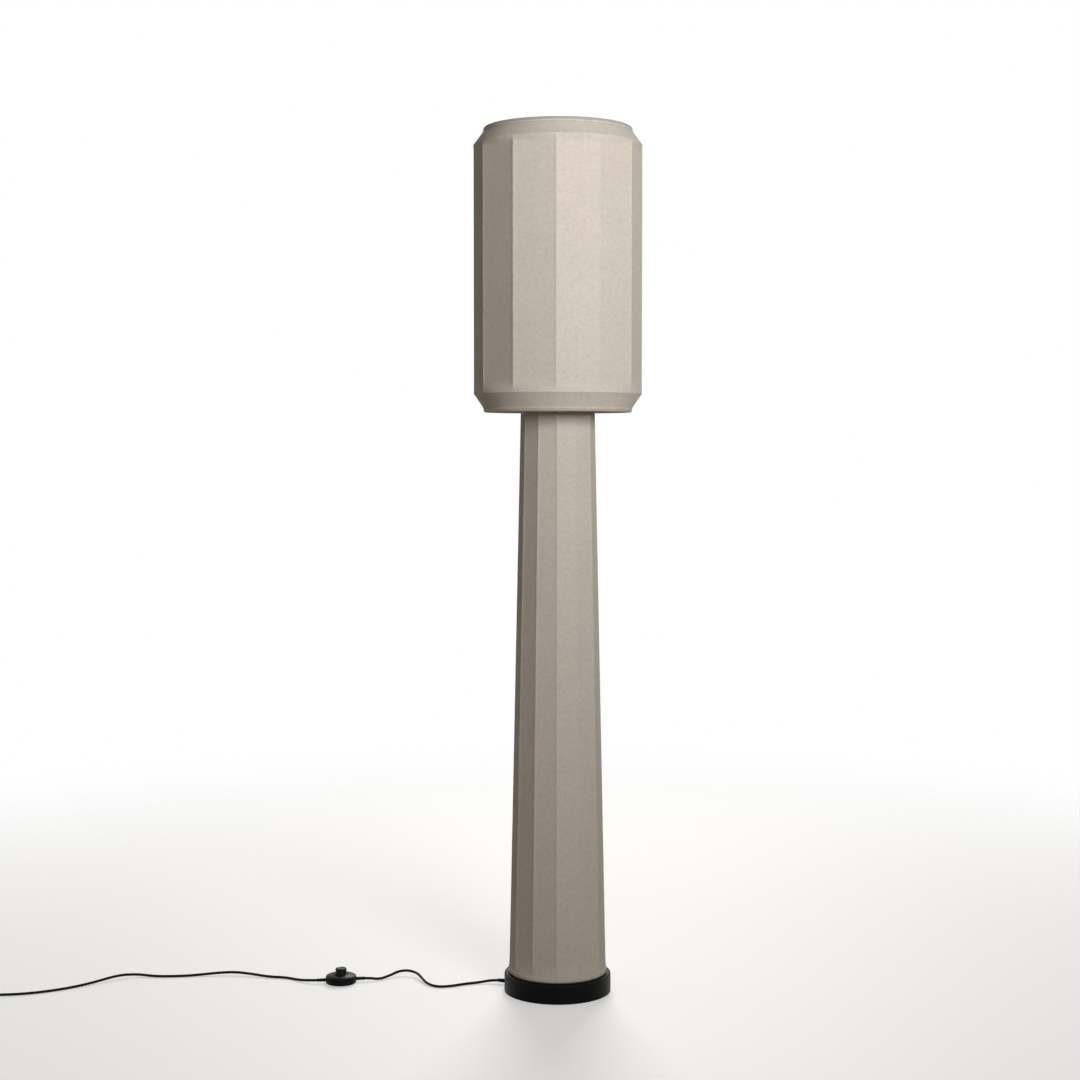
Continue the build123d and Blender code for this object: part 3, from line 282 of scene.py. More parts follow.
# Linen: width of a yarn, yarns in a metre, how far they drift and how high they cross; the slubs are
# paler than the cloth, and the flecks darker and browner
THREAD = 0.00065
YARNS = 1.0 / THREAD
YARN_DRIFT = 0.0012
YARN_CROSSING = 0.45
SLUB_TINT = 1.12
SLUB_STRENGTH = 0.7
FLECK_TINT = (0.62, 0.56, 0.46)
FLECK_STRENGTH = 0.35

# Sockets of a Mix node that mixes colours
MIX_FACTOR = 0
MIX_FIRST = 6
MIX_SECOND = 7
MIX_RESULT = 2


# Camera

def make_camera():
    data = bpy.data.cameras.new("camera")
    data.sensor_fit = "HORIZONTAL"
    data.sensor_width = SENSOR
    data.lens = SENSOR * FOCAL_PIXELS / PICTURE_SIDE
    camera = bpy.data.objects.new("camera", data)
    camera.location = CAMERA_PLACE
    camera.rotation_euler = (radians(90.0 - CAMERA_DOWN), 0.0, 0.0)
    bpy.context.scene.collection.objects.link(camera)
    bpy.context.scene.camera = camera


# Points and meshes

def around(radius, azimuth, height):
    """A point at an azimuth round the lamp's axis."""
    return Vector((radius * cos(radians(azimuth)), radius * sin(radians(azimuth)), height))


def corner_azimuth(index):
    return FRONT_AZIMUTH + FRONT_CORNER_TURN + STEP_ANGLE * index


def eased(value):
    """A smooth step from 0 to 1."""
    held = min(1.0, max(0.0, value))
    return held * held * (3.0 - 2.0 * held)


def closed_pairs(points):
    return list(zip(points, points[1:] + points[:1]))


def link(piece, body, slot, *replaced):
    """Adds a piece on its body, hides the nodes it stands in for, and gives it its slot's finish if it has
    none.
    """
    if not piece.data.materials:
        piece.data.materials.append(MATERIALS[slot])
    bpy.context.scene.collection.objects.link(piece)
    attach(piece, body)
    if replaced:
        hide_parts(*replaced)
    return piece


def ring_mesh(name, rings, maps, closed):
    """Rings of points joined by quads; maps places a quad's left (0) or right (1) edge on the cloth."""
    count = len(rings[0])
    points = [point for ring in rings for point in ring]
    faces = []
    corners = []
    spans = len(rings) if closed else len(rings) - 1
    for row in range(spans):
        start = row * count
        above = (row + 1) % len(rings) * count
        for column in range(count):
            beside = (column + 1) % count
            faces.append((start + column, start + beside, above + beside, above + column))
            corners += [maps(column, 0, row), maps(column, 1, row)]
            corners += [maps(column, 1, row + 1), maps(column, 0, row + 1)]
    mesh = bpy.data.meshes.new(name)
    mesh.from_pydata(points, [], faces)
    layer = mesh.uv_layers.new(name="cloth")
    for loop, corner in zip(layer.data, corners):
        loop.uv = corner
    mesh.shade_smooth()
    mesh.update()
    return bpy.data.objects.new(name, mesh)


def outlined(rows, radii, base):
    """The outline's points for rows of (named radius, distance from it, height over a base)."""
    return [(radii[edge] + distance, base + rise) for edge, distance, rise in rows]


def turned_piece(name, profile, segments, place=Matrix.Identity(4), wobble=None):
    """A closed outline of (radius, height) points turned round Z, then placed; wobble moves the radii."""
    if sum(r0 * z1 - r1 * z0 for (r0, z0), (r1, z1) in closed_pairs(profile)) < 0.0:
        profile = profile[::-1]
    lengths = [0.0]
    for (r0, z0), (r1, z1) in closed_pairs(profile):
        lengths.append(lengths[-1] + hypot(r1 - r0, z1 - z0))
    rings = []
    for index, (radius, height) in enumerate(profile):
        ring = []
        for step in range(segments):
            azimuth = 360.0 * step / segments
            moved = radius + (wobble(azimuth, index / len(profile)) if wobble else 0.0)
            ring.append(place @ around(moved, azimuth, height))
        rings.append(ring)
    widest = max(radius for radius, _ in profile)

    def maps(column, side, row):
        return (2.0 * pi * widest * (column + side) / segments, lengths[row])

    return ring_mesh(name, rings, maps, closed=True)


# Fabric skins of the shade and the column

def ring_inset():
    """How far a ring's centre lies from the edge of the trim that closes over it."""
    return TRIM + TOUCH + RING_WIRE / 2.0


def fold_stations(height, reach):
    """The stretch above or below a fold where its round line gives way to flat panels."""
    stations = []
    for step in range(FOLD_STEPS + 1):
        share = step / FOLD_STEPS
        cornered = FOLD_ROUND + (1.0 - FOLD_ROUND) * eased(share)
        stations.append((SHADE_CORNER_RADIUS, height + reach * share, cornered))
    return stations


def shade_profile():
    """The fabric's outer line at a corner, from the lower ring up, as (radius, height, cornered) points."""
    rim = SHADE_RIM_RADIUS - TRIM - TOUCH
    bevel_foot = SHADE_BOTTOM + SHADE_BOTTOM_BEVEL
    bevel_head = TOTAL_HEIGHT - SHADE_TOP_BEVEL
    return [
        (rim, SHADE_BOTTOM + ring_inset(), 0.0),
        (rim + SHADE_TRIM_LEAN, SHADE_BOTTOM + SHADE_TRIM_HEIGHT, 0.0),
        *fold_stations(bevel_foot, SHADE_FOLD_ABOVE),
        *reversed(fold_stations(bevel_head, -SHADE_FOLD_BELOW)),
        (rim + SHADE_TRIM_LEAN, TOTAL_HEIGHT - SHADE_TRIM_HEIGHT, 0.0),
        (rim, TOTAL_HEIGHT - ring_inset(), 0.0),
    ]


def column_profile():
    """The same for the column, which flares at its foot and turns in to its top ring."""
    foot = COLUMN_FOOT_RADIUS - TRIM - TOUCH
    top = COLUMN_TOP_RADIUS - TRIM - TOUCH
    return [
        (foot, COLUMN_BOTTOM + ring_inset(), 0.0),
        (foot - COLUMN_HEM_LEAN, COLUMN_BOTTOM + COLUMN_HEM_HEIGHT, 0.0),
        (COLUMN_LOWER_CORNER_RADIUS, COLUMN_BOTTOM + COLUMN_FLARE_END, 1.0),
        (COLUMN_UPPER_CORNER_RADIUS, COLUMN_TOP - COLUMN_TOP_TURN_IN, 1.0),
        (top, COLUMN_TOP - COLUMN_TOP_ROUND, 0.0),
        (top, COLUMN_TOP - ring_inset(), 0.0),
    ]


def panel_width(corner_radius):
    return 2.0 * corner_radius * sin(HALF_STEP)


def facet_point(radius, cornered, index, share):
    """A point of one panel's outline: on the circle for 0, on the straight side for 1."""
    start = around(radius, corner_azimuth(index), 0.0)
    end = around(radius, corner_azimuth(index + 1), 0.0)
    straight = start.lerp(end, share)
    curved = around(radius, corner_azimuth(index + share), 0.0)
    return curved.lerp(straight, cornered)


def panel_shares(width):
    """Places across a panel, close together at its ribs so that the creases stay crisp."""
    near = [reach / width for reach in CREASE_PLACES]
    return [0.0] + near + PANEL_PLACES + [1.0 - share for share in reversed(near)]


def row_shares(length, step):
    """Places up a panel, close together at its folds."""
    count = max(2, ceil(length / step))
    near = [share * min(FOLD_ROW_LIMIT, RIB_ROUND / length) for share in FOLD_ROWS]
    middle = [index / count for index in range(1, count) if near[1] < index / count < 1.0 - near[1]]
    return [0.0] + near + middle + [1.0 - share for share in reversed(near)]


def skin_stations(profile, row_step):
    """Each row of a skin: the profile points below and above it, its share of the way, and its rise."""
    stations = []
    risen = 0.0
    for below, above in zip(profile, profile[1:]):
        length = hypot(above[0] - below[0], above[1] - below[1])
        for share in row_shares(length, row_step):
            stations.append((below, above, share, risen + share * length))
        risen += length
    stations.append((profile[-2], profile[-1], 1.0, risen))
    return stations


def skin_row(below, above, share, shares, width, folds):
    """One ring of the skin's points, with the bead over a hoop where a fold is near."""
    (r0, z0, c0), (r1, z1, c1) = below, above
    height = z0 + (z1 - z0) * share
    cornered = c0 + (c1 - c0) * share
    bead = max([0.0] + [FOLD_BEAD * eased(1.0 - abs(height - fold) / FOLD_BEAD_WIDTH) for fold in folds])
    row = []
    for index in range(SIDES):
        for place in shares:
            point = facet_point(r0, c0, index, place).lerp(facet_point(r1, c1, index, place), share)
            point.z = height
            row.append(settled(point, index, place, width, cornered, bead))
    return row


def settled(point, index, place, width, cornered, bead):
    """Sinks the fabric a hair between ribs and hoops, softens each crease, and lifts the lapped seam."""
    outward = Vector((point.x, point.y, 0.0)).normalized()
    from_rib = min(place, 1.0 - place) * width
    crease = max(0.0, 1.0 - from_rib / RIB_ROUND) * RIB_ROUND * CREASE_DEPTH * cornered
    dip = RIB_DIP * eased(from_rib / RIB_SHOULDER) * cornered
    wave = noise.noise(point / PANEL_WAVE_LENGTH + Vector((0.0, 0.0, PANEL_WAVE_SHIFT * index)))
    run_in = min(1.0, from_rib / (PANEL_WAVE_RUN_IN * width))
    moved = bead - crease - dip + PANEL_WAVE * wave * run_in * cornered
    if index == SEAM_PANEL and place * width < SEAM_LAP:
        moved += SEAM_STEP
    return point + outward * moved


def fabric_skin(name, profile, row_step, folds):
    """Fabric stretched over ribs and rings, flat between creases; its outer finish has the same name."""
    width = panel_width(max(radius for radius, _, _ in profile))
    shares = panel_shares(width)
    stations = skin_stations(profile, row_step)
    rings = [skin_row(below, above, share, shares, width, folds) for below, above, share, _ in stations]
    widths = [panel_width(below[0] + (above[0] - below[0]) * share) for below, above, share, _ in stations]

    def maps(column, side, row):
        index, place = divmod(column, len(shares))
        centred = ((shares + [1.0])[place + side] - 0.5) * widths[row]
        return (index * width + centred, stations[row][3])

    piece = ring_mesh(name, rings, maps, closed=False)
    thicken = piece.modifiers.new("thickness", "SOLIDIFY")
    thicken.thickness = FABRIC
    thicken.offset = -1.0
    thicken.material_offset = 1
    thicken.material_offset_rim = 0
    piece.data.materials.append(MATERIALS[name])
    piece.data.materials.append(MATERIALS["shade_liner"])
    return piece


# Trims, hems and hoops

def folded_band(outer, inner, free, edge, height, turn_in, side):
    """The outline of a bound edge: it lies flat outside, rolls over the ring, and turns in behind it."""
    roll = (outer - inner) / 2.0
    inner_roll = roll - TRIM
    centre = (outer + inner) / 2.0
    crest = edge + side * roll
    outside = [(free, edge + side * height), (outer, crest + side * roll)]
    inside = [(free - TRIM_EDGE, edge + side * height), (outer - TRIM, crest + side * roll)]
    for step in range(ROLL_STEPS + 1):
        angle = pi * step / ROLL_STEPS
        outside.append((centre + roll * cos(angle), crest - side * roll * sin(angle)))
        inside.append((centre + inner_roll * cos(angle), crest - side * inner_roll * sin(angle)))
    tail = edge + side * max(turn_in, roll + TRIM / 2.0)
    outside.append((inner, tail))
    inside.append((inner + TRIM, tail))
    return outside + inside[::-1]


def band_piece(node, outer, lean, height, turn_in, upward, segments):
    """A fabric trim round a rim, a little uneven where the strip was pulled round the ring."""
    low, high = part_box(node)
    edge = low.z if upward else high.z
    inner = outer - 2.0 * TRIM - 2.0 * TOUCH - FABRIC - RING_WIRE - TOUCH
    free = outer - TRIM - TOUCH + lean + TRIM_EDGE + TOUCH / 2.0
    profile = folded_band(outer, inner, free, edge, height, turn_in, 1.0 if upward else -1.0)

    def wobble(azimuth, place):
        shift = TRIM_HEIGHT_SHIFT * edge + TRIM_OUTLINE_SHIFT * place
        spot = around(outer / TRIM_WOBBLE_LENGTH, azimuth, shift)
        return TRIM_WOBBLE * (noise.noise(spot) - TRIM_WOBBLE_BIAS)

    return turned_piece(node + "_rolled", profile, segments, wobble=wobble)


def hoop_piece(name, node, height):
    """A round hoop of wire inside a fold of the shade, where the panels turn into the bevel."""
    wire = HOOP_WIRE / 2.0
    fold_radius = SHADE_CORNER_RADIUS * (1.0 - FOLD_ROUND * (1.0 - cos(HALF_STEP)))
    centre = fold_radius - FABRIC - 2.0 * TOUCH - wire
    angles = [2.0 * pi * step / WIRE_STEPS for step in range(WIRE_STEPS)]
    profile = [(centre + wire * cos(angle), height + wire * sin(angle)) for angle in angles]
    link(turned_piece(name, profile, HOOP_SEGMENTS), "stand", "frame_white", node)


def make_shade():
    folds = [SHADE_BOTTOM + SHADE_BOTTOM_BEVEL, TOTAL_HEIGHT - SHADE_TOP_BEVEL]
    fabric = fabric_skin("shade_fabric", shade_profile(), SHADE_ROW_STEP, folds)
    link(fabric, "stand", "shade_fabric", "shade_cover")
    # The lower trim takes the darker, warmer copy of the edging: painted shade under the rim
    for node, finish, upward in (
        ("shade_top_trim", "trim_fabric", False), ("shade_bottom_trim", "trim_fabric_shaded_foot", True),
    ):
        trim = band_piece(
            node, SHADE_RIM_RADIUS, SHADE_TRIM_LEAN, SHADE_TRIM_HEIGHT, SHADE_TRIM_TURN_IN, upward,
            SHADE_TRIM_SEGMENTS,
        )
        trim.data.materials.append(MATERIALS[finish])
        link(trim, "stand", "trim_fabric", node)
    hoop_piece("shade_lower_hoop_ring", "shade_lower_hoop", folds[0])
    hoop_piece("shade_upper_hoop_ring", "shade_upper_hoop", folds[1])


def column_hem(node, radius, lean, upward):
    """One hem of the column, in linen a little darker than the panels' as painted shade; the lower edge of
    the foot hem is bound with tape, whose brown band also paints the shade in the joint above the base.
    """
    hem = band_piece(node, radius, lean, COLUMN_HEM_HEIGHT, 0.0, upward, COLUMN_HEM_SEGMENTS)
    hem.data.materials.append(MATERIALS["hem_linen_shaded"])
    # The lowest strip of the foot hem takes the tape's brown, which is also painted shade above the base
    if upward:
        hem.data.materials.append(MATERIALS["hem_tape_and_shade"])
        for face in hem.data.polygons:
            face.material_index = int(face.center.z < COLUMN_BOTTOM + HEM_TAPE_AND_SHADE_HEIGHT)
    return link(hem, "stand", "trim_fabric", node)


def make_column():
    fabric = fabric_skin("column_fabric", column_profile(), COLUMN_ROW_STEP, [])
    link(fabric, "stand", "column_fabric", "column_cover")
    hems = [
        column_hem("column_foot_hem", COLUMN_FOOT_RADIUS, -COLUMN_HEM_LEAN, True),
        column_hem("column_top_hem", COLUMN_TOP_RADIUS, 0.0, False),
    ]


# Lead

def on_floor(route):
    return [Vector((x, y, FLOOR_CENTRE + lift)) for x, y, lift in route]


def beside_switch(reach):
    """A point on the line of the lead through the foot switch, to its right for a positive reach."""
    return Vector((SWITCH_X, SWITCH_Y, 0.0)) + around(reach, SWITCH_TURN, RELIEF_HEIGHT)


def coil_points():
    """The put-away turns: they spiral in on the floor, climb one layer, and spiral out on top."""
    spread = cos(pi / (2.0 * POINTS_PER_HALF_TURN))
    half_turns = COIL_HALF_TURNS_IN + 1 + COIL_HALF_TURNS_OUT
    points = []
    for step in range(half_turns * POINTS_PER_HALF_TURN + 1):
        turned = step / POINTS_PER_HALF_TURN
        inward = min(turned, COIL_HALF_TURNS_IN)
        outward = max(0.0, turned - COIL_HALF_TURNS_IN - 1)
        radius = COIL_OUTER_RADIUS - COIL_PITCH / 2.0 * (inward - outward)
        height = FLOOR_CENTRE + COIL_LAYER_STEP * eased(turned - COIL_HALF_TURNS_IN)
        azimuth = COIL_START_AZIMUTH + 180.0 * turned
        points.append(Vector((COIL_X, COIL_Y, 0.0)) + around(radius / spread, azimuth, height))
    return points


def cord_curve(name, points):
    """A smooth round cable with the route's points as its control points."""
    curve = bpy.data.curves.new(name, "CURVE")
    curve.dimensions = "3D"
    spline = curve.splines.new("NURBS")
    spline.points.add(len(points) - 1)
    for place, point in zip(spline.points, points):
        place.co = (*point, 1.0)
    spline.use_endpoint_u = True
    spline.order_u = 3
    spline.resolution_u = CORD_STEPS_ALONG
    curve.bevel_depth = CORD_DIAMETER / 2.0
    curve.bevel_resolution = CORD_STEPS_ROUND
    curve.use_fill_caps = True
    return bpy.data.objects.new(name, curve)


def sleeve_profile(root_radius, tip_radius, start, end, flange=None):
    """A tapered moulded sleeve that grips the lead, with shallow grooves, as (radius, reach) points."""
    bore = CORD_DIAMETER / 2.0 - TOUCH
    outline = [(bore, start)]
    if flange:
        outline += [(flange[0], start), (flange[0], flange[1])]
    ridge_start = flange[1] if flange else start
    outline.append((root_radius, ridge_start))
    length = end - ridge_start
    pitch = SLEEVE_GROOVES_LENGTH * length / SLEEVE_GROOVES
    first = ridge_start + SLEEVE_GROOVES_START * length
    for groove in range(SLEEVE_GROOVES):
        for share, depth in SLEEVE_GROOVE:
            reach = first + pitch * (groove + share)
            radius = root_radius + (tip_radius - root_radius) * (reach - ridge_start) / length
            outline.append((radius - depth * SLEEVE_GROOVE_DEPTH, reach))
    outline += [(tip_radius, end - SLEEVE_END_REACH), (tip_radius - SLEEVE_END_INSET, end), (bore, end)]
    return outline


def along(origin, azimuth):
    """A placement whose Z axis points level along an azimuth."""
    turn = Matrix.Rotation(radians(azimuth), 4, "Z") @ Matrix.Rotation(radians(90.0), 4, "Y")
    return Matrix.Translation(origin) @ turn


def make_gland():
    """The gland in the wall of the base: a flange on each side of the wall, and a tapered nose outside."""
    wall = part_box("base_cover")[1].x
    inner_face = wall - GLAND_INNER_FACE
    outline = [
        (CORD_DIAMETER / 2.0, GLAND_INNER_END), (GLAND_FLANGE_RADIUS, GLAND_INNER_END),
        (GLAND_FLANGE_RADIUS, inner_face), (GLAND_NECK_RADIUS, inner_face),
        (GLAND_NECK_RADIUS, wall + TOUCH),
    ]
    flange = (GLAND_FLANGE_RADIUS, wall + GLAND_FLANGE)
    nose = sleeve_profile(GLAND_NECK_RADIUS, GLAND_TIP_RADIUS, wall + TOUCH, wall + GLAND_NOSE, flange)
    place = along(Vector((0.0, 0.0, EXIT_HEIGHT)), EXIT_AZIMUTH)
    gland = turned_piece("lead_gland", outline + nose[1:], SLEEVE_SEGMENTS, place)
    return link(gland, "stand", "cable_black", "base_gland")


def make_sleeves():
    """The moulded ends on both sides of the foot switch."""
    outline = sleeve_profile(
        SWITCH_SLEEVE_ROOT_RADIUS, SWITCH_SLEEVE_TIP_RADIUS, SWITCH_SLEEVE_START, SWITCH_SLEEVE_END,
    )
    sleeves = []
    for name, azimuth in (("right", SWITCH_TURN), ("left", SWITCH_TURN + 180.0)):
        place = along(Vector((SWITCH_X, SWITCH_Y, RELIEF_HEIGHT)), azimuth)
        sleeve = turned_piece("switch_sleeve_" + name, outline, SLEEVE_SEGMENTS, place)
        sleeves.append(link(sleeve, "stand", "cable_black", "switch_strain_reliefs"))
    return sleeves


def switch_post(name, azimuth, seam, switch_place):
    """A hollow post inside the dome that takes a screw from below."""
    top = seam + POST_RISE
    outline = [(POST_BORE, POST_FOOT), (POST_RADIUS, POST_FOOT), (POST_RADIUS, top), (POST_BORE, top)]
    place = switch_place @ Matrix.Translation(around(POST_SPREAD, azimuth, 0.0))
    return turned_piece(name, outline, POST_SEGMENTS, place)


def make_button(place):
    low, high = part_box("switch_button")
    radii = {"axis": 0.0, "wall": BUTTON_RADIUS, "flange": (high.x - low.x) / 2.0}
    outline = outlined(BUTTON_CROWN, radii, high.z) + outlined(BUTTON_SKIRT, radii, low.z)
    button = turned_piece("switch_cap", outline, BUTTON_SEGMENTS, place)
    return link(button, "button", "button_black", "switch_button")


def make_switch():
    """The dome, its two screw posts and the button of the foot switch, each turned round its own axis."""
    place = Matrix.Translation((SWITCH_X, SWITCH_Y, 0.0))
    low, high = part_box("switch_base")
    seam = high.z + TOUCH
    radii = {
        "brim": (high.x - low.x) / 2.0, "collar": SWITCH_COLLAR_RADIUS, "hole": BUTTON_RADIUS + BUTTON_GAP,
    }
    shell = [
        turned_piece("switch_dome", outlined(DOME_OUTLINE, radii, seam), DOME_SEGMENTS, place),
        switch_post("switch_post_front", SWITCH_TURN - 90.0, seam, place),
        switch_post("switch_post_back", SWITCH_TURN + 90.0, seam, place),
    ]
    for piece in shell:
        link(piece, "stand", "switch_black", "switch_cover")
    return [*shell, make_button(place)]


def make_lead():
    gland = make_gland()
    sleeves = make_sleeves()
    exit_point = around(EXIT_REACH, EXIT_AZIMUTH, EXIT_HEIGHT)
    to_switch = [exit_point, around(EXIT_REACH + LEAD_START, EXIT_AZIMUTH, EXIT_HEIGHT)]
    to_switch += on_floor(ROUTE_TO_SWITCH)
    to_switch += [beside_switch(RELIEF_REACH + LEAD_START), beside_switch(RELIEF_REACH)]
    first = cord_curve("lead_to_switch", to_switch)
    link(first, "stand", "cable_black", "cord_base_to_switch")
    switch_pieces = [*make_switch(), "switch_base", "switch_screws"]
    switch_exit = beside_switch(-RELIEF_REACH)
    to_plug = [switch_exit, beside_switch(-RELIEF_REACH - LEAD_START)] + on_floor(ROUTE_TO_COIL)
    to_plug += coil_points()
    to_plug.append(to_plug[-1] - Vector((COIL_TAIL, 0.0, 0.0)))
    second = cord_curve("lead_to_plug", to_plug)
    link(second, "stand", "cable_black", "cord_switch_to_coil", "cord_coil")


# Materials

def tinted(colour, share):
    return tuple(min(1.0, channel * share) for channel in colour)


class Finish:
    """One material's node tree, with short calls for the nodes that the finishes share."""

    def __init__(self, name, colour, roughness, metallic=0.0):
        self.material = bpy.data.materials.new(name)
        self.material.use_nodes = True
        self.tree = self.material.node_tree
        self.shader = self.tree.nodes["Principled BSDF"]
        self.colour = colour
        self.all_over(Base_Color=(*colour, 1.0), Roughness=roughness, Metallic=metallic)

    def all_over(self, **sockets):
        """Sets values that are the same all over, on the shader's own sockets, with _ for a space."""
        for name, value in sockets.items():
            self.shader.inputs[name.replace("_", " ")].default_value = value

    def wear(self, **sockets):
        """Links results to the shader's sockets, named in the same way."""
        for name, value in sockets.items():
            self.tree.links.new(value, self.shader.inputs[name.replace("_", " ")])
        return self.material

    def node(self, kind, values=(), **settings):
        made = self.tree.nodes.new(kind)
        for name, value in settings.items():
            setattr(made, name, value)
        for socket, value in dict(values).items():
            if isinstance(value, bpy.types.NodeSocket):
                self.tree.links.new(value, made.inputs[socket])
            else:
                made.inputs[socket].default_value = value
        return made

    def place(self):
        return self.node("ShaderNodeTexCoord").outputs["Object"]

    def cloth(self):
        """The place on the flat cloth, in metres."""
        return self.node("ShaderNodeUVMap", uv_map="cloth").outputs["UV"]

    def noise(self, vector, scale, detail=2.0, roughness=0.5):
        values = {"Vector": vector, "Scale": scale, "Detail": detail, "Roughness": roughness}
        return self.node("ShaderNodeTexNoise", values).outputs["Fac"]

    def streaks(self, vector, scales, detail=2.0):
        """Noise with its own scale along each axis, so that it is drawn out along one of them."""
        stretched = self.node("ShaderNodeMapping", {"Vector": vector, "Scale": scales}).outputs["Vector"]
        return self.noise(stretched, 1.0, detail)

    def maths(self, operation, *values):
        pairs = dict(enumerate(values))
        return self.node("ShaderNodeMath", pairs, operation=operation).outputs["Value"]

    def weighted(self, *pairs):
        """The sum of values, each times its weight."""
        products = [self.maths("MULTIPLY", value, weight) for value, weight in pairs]
        total = products[0]
        for product in products[1:]:
            total = self.maths("ADD", total, product)
        return total

    def span(self, value, low, high, new_low=0.0, new_high=1.0):
        values = {"Value": value, "From Min": low, "From Max": high, "To Min": new_low, "To Max": new_high}
        return self.node("ShaderNodeMapRange", values).outputs["Result"]

    def mix(self, factor, first, second):
        values = {MIX_FACTOR: factor}
        for socket, value in ((MIX_FIRST, first), (MIX_SECOND, second)):
            values[socket] = (*value, 1.0) if isinstance(value, tuple) else value
        return self.node("ShaderNodeMix", values, data_type="RGBA").outputs[MIX_RESULT]

    def shade(self, factor, darker, lighter):
        """The finish's colour between two brightness levels, by a factor from 0 to 1."""
        return self.mix(factor, tinted(self.colour, darker), tinted(self.colour, lighter))

    def bump(self, height, distance, strength, under=None):
        values = {"Height": height, "Distance": distance, "Strength": strength}
        if under:
            values["Normal"] = under
        return self.node("ShaderNodeBump", values).outputs["Normal"]


def drifting(finish, cloth):
    """The place on the cloth, moved a little so that no yarn runs quite straight."""
    slow = finish.node("ShaderNodeTexNoise", {"Vector": cloth, "Scale": 35.0, "Detail": 1.0})
    reach = {0: slow.outputs["Color"], 1: (YARN_DRIFT, YARN_DRIFT, YARN_DRIFT)}
    offset = finish.node("ShaderNodeVectorMath", reach, operation="MULTIPLY").outputs[0]
    return finish.node("ShaderNodeVectorMath", {0: cloth, 1: offset}, operation="ADD").outputs[0]


def plain_weave(finish, cloth):
    """The height of a plain weave: round yarns, with warp and weft in turn on top."""
    split = finish.node("ShaderNodeSeparateXYZ", {"Vector": cloth})
    turn = pi / THREAD
    across = finish.maths("COSINE", finish.maths("MULTIPLY", split.outputs["X"], turn))
    upward = finish.maths("COSINE", finish.maths("MULTIPLY", split.outputs["Y"], turn))
    over = finish.maths("MULTIPLY", finish.maths("MULTIPLY", across, upward), YARN_CROSSING)
    warp = finish.maths("ADD", finish.maths("ABSOLUTE", across), over)
    weft = finish.maths("SUBTRACT", finish.maths("ABSOLUTE", upward), over)
    return finish.maths("MAXIMUM", warp, weft)


def slub_mask(finish, cloth):
    """1 on the odd thick stretch of a yarn, in warp and weft."""
    warp = finish.streaks(cloth, (0.7 * YARNS, 0.03 * YARNS, 3.0), detail=1.0)
    weft = finish.streaks(cloth, (0.028 * YARNS, 0.6 * YARNS, 5.0), detail=1.0)
    warp_slub = finish.span(warp, low=0.60, high=0.76)
    weft_slub = finish.span(weft, low=0.58, high=0.74)
    return finish.maths("MAXIMUM", warp_slub, weft_slub)


def linen(name, colour):
    """Plain linen weave on a backing: uneven yarns, pale slubs, dark flecks, mottling and a soft sheen."""
    finish = Finish(name, colour, roughness=0.88)
    finish.all_over(Sheen_Weight=0.12, Sheen_Roughness=0.5, Specular_IOR_Level=0.25)
    cloth = finish.cloth()
    bent = drifting(finish, cloth)
    weave = plain_weave(finish, bent)
    slubs = slub_mask(finish, bent)
    flecks = finish.span(finish.noise(bent, scale=240.0, detail=3.0, roughness=0.7), low=0.60, high=0.70)
    warp_yarn = finish.streaks(bent, (YARNS, 0.06 * YARNS, 1.0))
    weft_yarn = finish.streaks(bent, (0.05 * YARNS, YARNS, 1.0))
    cloudy = finish.noise(cloth, scale=9.0, detail=3.0, roughness=0.6)
    mottle = finish.noise(bent, scale=130.0, detail=3.0, roughness=0.7)
    tone = finish.weighted(
        (warp_yarn, 0.26), (weft_yarn, 0.26), (cloudy, 0.12), (mottle, 0.36), (weave, 0.10),
    )
    fleck_colour = tuple(channel * tint for channel, tint in zip(colour, FLECK_TINT))
    shown = finish.shade(finish.span(tone, low=0.39, high=0.71), darker=0.85, lighter=1.13)
    shown = finish.mix(finish.maths("MULTIPLY", slubs, SLUB_STRENGTH), shown, tinted(colour, SLUB_TINT))
    shown = finish.mix(finish.maths("MULTIPLY", flecks, FLECK_STRENGTH), shown, fleck_colour)
    yarn_height = finish.maths("ADD", slubs, finish.maths("MULTIPLY", warp_yarn, 0.6))
    yarn_bump = finish.bump(yarn_height, distance=0.00018, strength=0.6)
    normal = finish.bump(weave, distance=0.00016, strength=0.75, under=yarn_bump)
    rough = finish.span(tone, low=0.3, high=0.75, new_low=0.93, new_high=0.82)
    return finish.wear(Base_Color=shown, Roughness=rough, Normal=normal)


def liner(name, colour):
    """The smooth laminated back of the fabric, with the weave showing through faintly."""
    finish = Finish(name, colour, roughness=0.62)
    cloth = finish.cloth()
    through = finish.streaks(cloth, (1400.0, 1400.0, 1.0), detail=1.0)
    cloudy = finish.noise(cloth, scale=14.0, detail=4.0, roughness=0.6)
    shown = finish.shade(finish.span(cloudy, low=0.3, high=0.7), darker=0.94, lighter=1.03)
    rough = finish.span(cloudy, low=0.3, high=0.7, new_low=0.68, new_high=0.55)
    normal = finish.bump(finish.maths("ADD", through, cloudy), distance=0.00012, strength=0.5)
    return finish.wear(Base_Color=shown, Roughness=rough, Normal=normal)


def binding(name, colour):
    """Fine woven edging, pulled smooth round a rim, with hair-thin ribs across it and faint puckers."""
    finish = Finish(name, colour, roughness=0.75)
    finish.all_over(Sheen_Weight=0.15)
    cloth = finish.cloth()
    ribs = finish.streaks(cloth, (2600.0, 180.0, 1.0))
    puckers = finish.streaks(cloth, (130.0, 25.0, 1.0))
    cloudy = finish.noise(cloth, scale=22.0, detail=3.0)
    tone = finish.weighted((ribs, 0.4), (cloudy, 0.6))
    shown = finish.shade(finish.span(tone, low=0.35, high=0.65), darker=0.93, lighter=1.05)
    rough = finish.span(tone, low=0.35, high=0.65, new_low=0.8, new_high=0.68)
    rib_bump = finish.bump(ribs, distance=0.0001, strength=0.6)
    normal = finish.bump(puckers, distance=0.0004, strength=0.5, under=rib_bump)
    return finish.wear(Base_Color=shown, Roughness=rough, Normal=normal)


